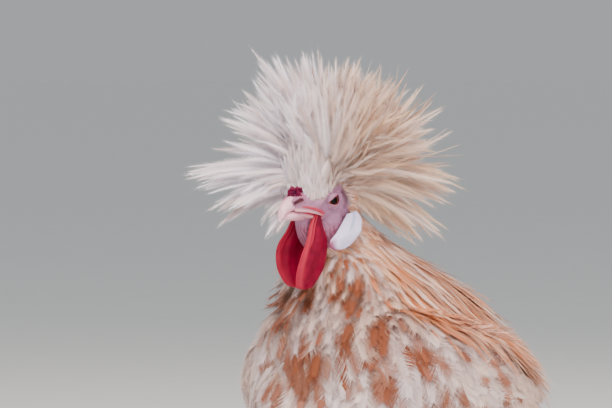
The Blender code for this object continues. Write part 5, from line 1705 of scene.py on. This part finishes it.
# Joints of the left leg, from the model's own origin. Each toe has a length, and a turn outwards from
# straight ahead
HOCK = (0.048, 0.040, 0.104)
ANKLE = (0.047, -0.008, 0.016)
TOES = [
    (0.047, math.radians(40.0)),
    (0.062, math.radians(2.0)),
    (0.045, math.radians(-36.0)),
    (0.021, math.radians(-165.0)),
]


def scaled_limb(path, radius_of, plates, height, count, sides):
    """A limb with overlapping plates down its front, each swelling to its lower edge."""
    shares = np.linspace(0.0, 1.0, count)
    centres = smooth_rows(path, shares)
    along = unit(smooth_rows(path, shares + 0.02) - smooth_rows(path, shares - 0.02))
    guide = np.where(np.abs(along[:, 2:]) > 0.7, BACK, UP)
    across = unit(np.cross(along, guide))
    rise = np.cross(across, along)
    angle = np.linspace(0.0, 2 * math.pi, sides, endpoint=False)
    front = np.clip(np.cos(angle), 0.0, 1.0) ** 0.6
    tooth = (shares * plates) % 1.0
    lift = height * (tooth**1.6) * ease(1.0, 0.9, tooth)
    side_tooth = (shares * plates * 2.0 + 0.5 * (np.arange(sides)[:, None] % 2)) % 1.0
    radius = radius_of(shares)[:, None] + lift[:, None] * front[None]
    radius = radius + 0.4 * height * (side_tooth.T**2) * (1 - front[None])
    flat = np.cos(angle)[None, :, None] * rise[:, None] + np.sin(angle)[None, :, None] * across[:, None]
    points, faces = closed_loft(centres[:, None] + flat * radius[..., None])
    seam = np.clip(ease(0.80, 0.98, tooth) + ease(0.12, 0.0, tooth), 0, 1)[:, None] * front[None]
    return points, faces, np.concatenate([seam.ravel(), [0.0, 0.0]])


def make_leg(side, word, scutes, horn):
    """The scaled shank, four toes with a pad under the foot, claws and the spur."""
    flip = np.array((side, 1.0, 1.0))
    hock, ankle = np.array(HOCK) * flip + HOME, np.array(ANKLE) * flip + HOME
    limbs = [scaled_limb(
        np.array([hock + UP * 0.004, (hock + ankle) / 2, ankle]),
        lambda s: 0.0060 + 0.0027 * (2 * np.abs(s - 0.5)) ** 3, 17, 0.0006, 340, 44,
    )]
    foot = np.array((ankle[0], ankle[1], 0.0))
    claws = []
    for length, turn in TOES:
        aim = np.array((side * math.sin(turn), -math.cos(turn), 0.0))
        path = [foot + aim * length * reach + UP * height for reach, height in (
            (-0.02, 0.0105), (0.15, 0.0088), (0.4, 0.0066), (0.7, 0.0050), (1.0, 0.0040),
        )]
        limbs.append(scaled_limb(
            np.array(path), lambda s: 0.0064 - 0.0024 * s + 0.0005 * np.sin(s * 9.0),
            max(5, int(length / 0.0042)), 0.0005, 200, 36,
        ))
        root = foot + aim * length
        claw_path = [root + aim * ahead + UP * height for ahead, height in (
            (-0.0030, 0.0046), (0.0030, 0.0056), (0.0080, 0.0044), (0.0132, 0.0014),
        )]
        claws.append(closed_loft(swept(np.array(claw_path), [0.0027, 0.0026, 0.0018, 0.0003], 50, 28)))
    lean = np.linspace(0.0, math.pi, 40)[1:-1]
    levels = np.array((ankle[0], ankle[1] - 0.003, 0.0065)) - BACK * (0.0125 * np.cos(lean))[:, None]
    wide, high = 0.0105 * np.sin(lean), 0.008 * np.sin(lean)
    pad = closed_loft(rings_round(levels, X, UP, wide, high, high, 40))
    points, faces = joined([limb[:2] for limb in limbs] + [pad])
    points[:, 2] = np.maximum(points[:, 2], 0.0)
    rim = np.concatenate([limb[2] for limb in limbs] + [np.zeros(len(pad[0]))])
    place_piece(f"scaled_leg_{word}", points, faces, scutes, "leg_scales", [f"leg_{word}"], rim=rim)
    root = HOME + np.array((side * 0.045, 0.010, 0.040))
    spur_path = [root + np.array((-side * reach * 0.6, reach * 0.8, rise)) for reach, rise in (
        (0.0, 0.0), (0.007, 0.0), (0.014, 0.001), (0.020, 0.004),
    )]
    spur = closed_loft(swept(np.array(spur_path), [0.0044, 0.0037, 0.0024, 0.0006], 50, 32))
    horns = [(f"toe_claw_{word}_{i}", f"claw_{word}_{i}", claw) for i, claw in enumerate(claws, 1)]
    for name, node, (points, faces) in horns + [(f"spur_horn_{word}", f"spur_{word}", spur)]:
        points[:, 2] = np.maximum(points[:, 2], 0.0)
        place_piece(name, points, faces, horn, "claw_horn", [node], rim=np.full(len(points), 0.4))


# Floor, light and camera

def make_floor():
    """A plain pale studio floor that runs out of sight: matt painted board with a faint mottle of 60 mm."""
    mesh = bpy.data.meshes.new("studio_floor")
    reach, sides = 60.0, 48
    turns = [2 * math.pi * i / sides for i in range(sides)]
    edge = [(reach * math.cos(t), reach * math.sin(t), 0.0) for t in turns]
    mesh.from_pydata(edge, [], [tuple(range(sides))])
    made, tree, shader = new_finish("painted_board", Roughness=0.8)
    place = add_node(tree, "ShaderNodeTexCoord").outputs["Object"]
    mottle = add_node(tree, "ShaderNodeTexNoise", {"Vector": place, "Scale": 16.0, "Detail": 2.0})
    tone = add_node(
        tree, "ShaderNodeMix", {0: mottle.outputs[0], 6: hex_colour("#e6e6e4"), 7: hex_colour("#ecece9")},
        data_type="RGBA",
    )
    tree.links.new(tone.outputs[2], shader.inputs["Base Color"])
    mesh.materials.append(made)
    floor = bpy.data.objects.new("studio_floor", mesh)
    bpy.context.scene.collection.objects.link(floor)


def add_lamp(name, azimuth, elevation, distance, size, power, colour, aim):
    """A soft square lamp. Azimuth 0 is in front of the bird and 90 on its left."""
    turn, rise = math.radians(azimuth), math.radians(elevation)
    way = Vector((math.sin(turn) * math.cos(rise), -math.cos(turn) * math.cos(rise), math.sin(rise)))
    lamp = bpy.data.lights.new(name, "AREA")
    lamp.size = size
    lamp.energy = power
    lamp.color = hex_colour(colour)[:3]
    thing = bpy.data.objects.new(name, lamp)
    thing.location = Vector(aim) + way * distance
    thing.rotation_euler = (-way).to_track_quat("-Z", "Y").to_euler()
    bpy.context.scene.collection.objects.link(thing)


def make_light():
    aim = EYES + np.array((0.0, 0.05, -0.05))
    add_lamp("key", 15, 50, 1.9, 1.3, 66, "#fff6ec", aim)
    add_lamp("fill", 85, 20, 2.2, 1.8, 34, "#f8f2f6", aim)
    add_lamp("rim", 200, 45, 2.0, 1.2, 26, "#fff2e6", aim)
    world = bpy.data.worlds.new("studio")
    bpy.context.scene.world = world
    world.use_nodes = True
    tree = world.node_tree
    place = add_node(tree, "ShaderNodeTexCoord").outputs["Generated"]
    split = add_node(tree, "ShaderNodeSeparateXYZ", {0: place})
    rise = add_node(tree, "ShaderNodeMapRange", {"Value": split.outputs[2], "From Min": 0.0, "From Max": 0.5})
    tone = add_node(
        tree, "ShaderNodeMix", {0: rise.outputs[0], 6: hex_colour("#bdc0c3"), 7: hex_colour("#ced1d5")},
        data_type="RGBA",
    )
    shade = tree.nodes["Background"]
    tree.links.new(tone.outputs[2], shade.inputs[0])
    shade.inputs[1].default_value = 0.80


def make_camera():
    """The photograph's view: from the bird's front left, a little above its eye, through a long lens."""
    distance, sensor = 1.8, 36.0
    aim = PUPIL + VIEW_RIGHT * ((PHOTO_WIDE / 2 - PUPIL_PIXEL[0]) * METRES_PER_PIXEL)
    aim = aim - VIEW_UP * ((PHOTO_HIGH / 2 - PUPIL_PIXEL[1]) * METRES_PER_PIXEL)
    data = bpy.data.cameras.new("camera")
    data.sensor_width = sensor
    data.lens = sensor * distance / (PHOTO_WIDE * METRES_PER_PIXEL)
    camera = bpy.data.objects.new("camera", data)
    camera.location = Vector(aim + TOWARDS * distance)
    camera.rotation_euler = Vector(-TOWARDS).to_track_quat("-Z", "Y").to_euler()
    bpy.context.scene.collection.objects.link(camera)
    bpy.context.scene.camera = camera


def knob_rings(count, sides, inset):
    """The domed knob of bone on the skull that carries the crest."""
    lean = np.linspace(0.0, math.pi, count + 2)[1:-1]
    levels = EYES + KNOB_AT + UP * ((KNOB[2] - inset) * np.cos(lean))[:, None]
    wide, deep = (KNOB[0] - inset) * np.sin(lean), (KNOB[1] - inset) * np.sin(lean)
    return rings_round(levels, X, BACK, wide, deep, deep, sides)


def main():
    torso_tree = tree_of(*closed_loft(torso_rings(61, 96, 0.0)))
    parts = [closed_loft(torso_rings(61, 96, COAT), HOME + TORSO_ENDS[0], HOME + TORSO_ENDS[1])]
    parts += [closed_loft(level_rings(NECK_RINGS, 40, 72, COAT))]
    parts += [closed_loft(upright_rings(HEAD_RINGS, 40, 60, HEAD_COAT))]
    parts += [closed_loft(knob_rings(30, 60, COAT))]
    parts += [closed_loft(thigh_rings(side, 40, 48, THIGH_COAT)) for side, _ in SIDES]
    parts += [wing_bed(side, torso_tree, COAT) for side, _ in SIDES]
    tree, surface, whole = make_skin(parts)
    eye = eye_finish()
    for side, word in SIDES:
        make_eye(side, word, eye)
    beak = horn_finish("beak_keratin", "#f4bccb", "#c58496", 0.40)
    make_beak(beak)
    flesh = flesh_finish("wattle_flesh", "#6a0022", "#86002c", "#c02e46")
    comb = flesh_finish("comb_flesh", "#48062a", "#6c0c34", "#902046")
    for side, word in SIDES:
        make_comb(side, word, comb)
    make_wattles(flesh)
    make_lobes(lobe_finish())
    body = feather_finish("body_feather_keratin", "#decccf", "#dcb292", "#8a411a", "#967a7a")
    hackle = feather_finish("hackle_feather_keratin", "#f2dcd8", "#f0b88c", "#c4682a", "#ac8e86")
    wing = feather_finish("wing_feather_keratin", "#e6d4d2", "#dcb294", "#a05226", "#a08484")
    tail = feather_finish("tail_feather_keratin", "#ecdedc", "#e2c6ac", "#a8602f", "#a59494")
    crest = feather_finish("crest_feather_keratin", "#f8f0fa", "#f0caa6", "#a0622f", "#aa9aae")
    make_body_coat(tree, surface, body)
    make_neck_coat(tree, surface, hackle)
    make_saddle(tree, hackle)
    for side, word in SIDES:
        make_wing(side, word, tree, wing)
    make_tail(tail)
    make_crest(surface, crest)
    make_face_edge(tree_of(*whole), whole, hackle)
    scutes = scale_finish()
    horn = horn_finish("claw_keratin", "#cdbfb2", "#8f8176", 0.42)
    for side, word in SIDES:
        make_leg(side, word, scutes, horn)
    make_floor()
    make_light()
    make_camera()


main()
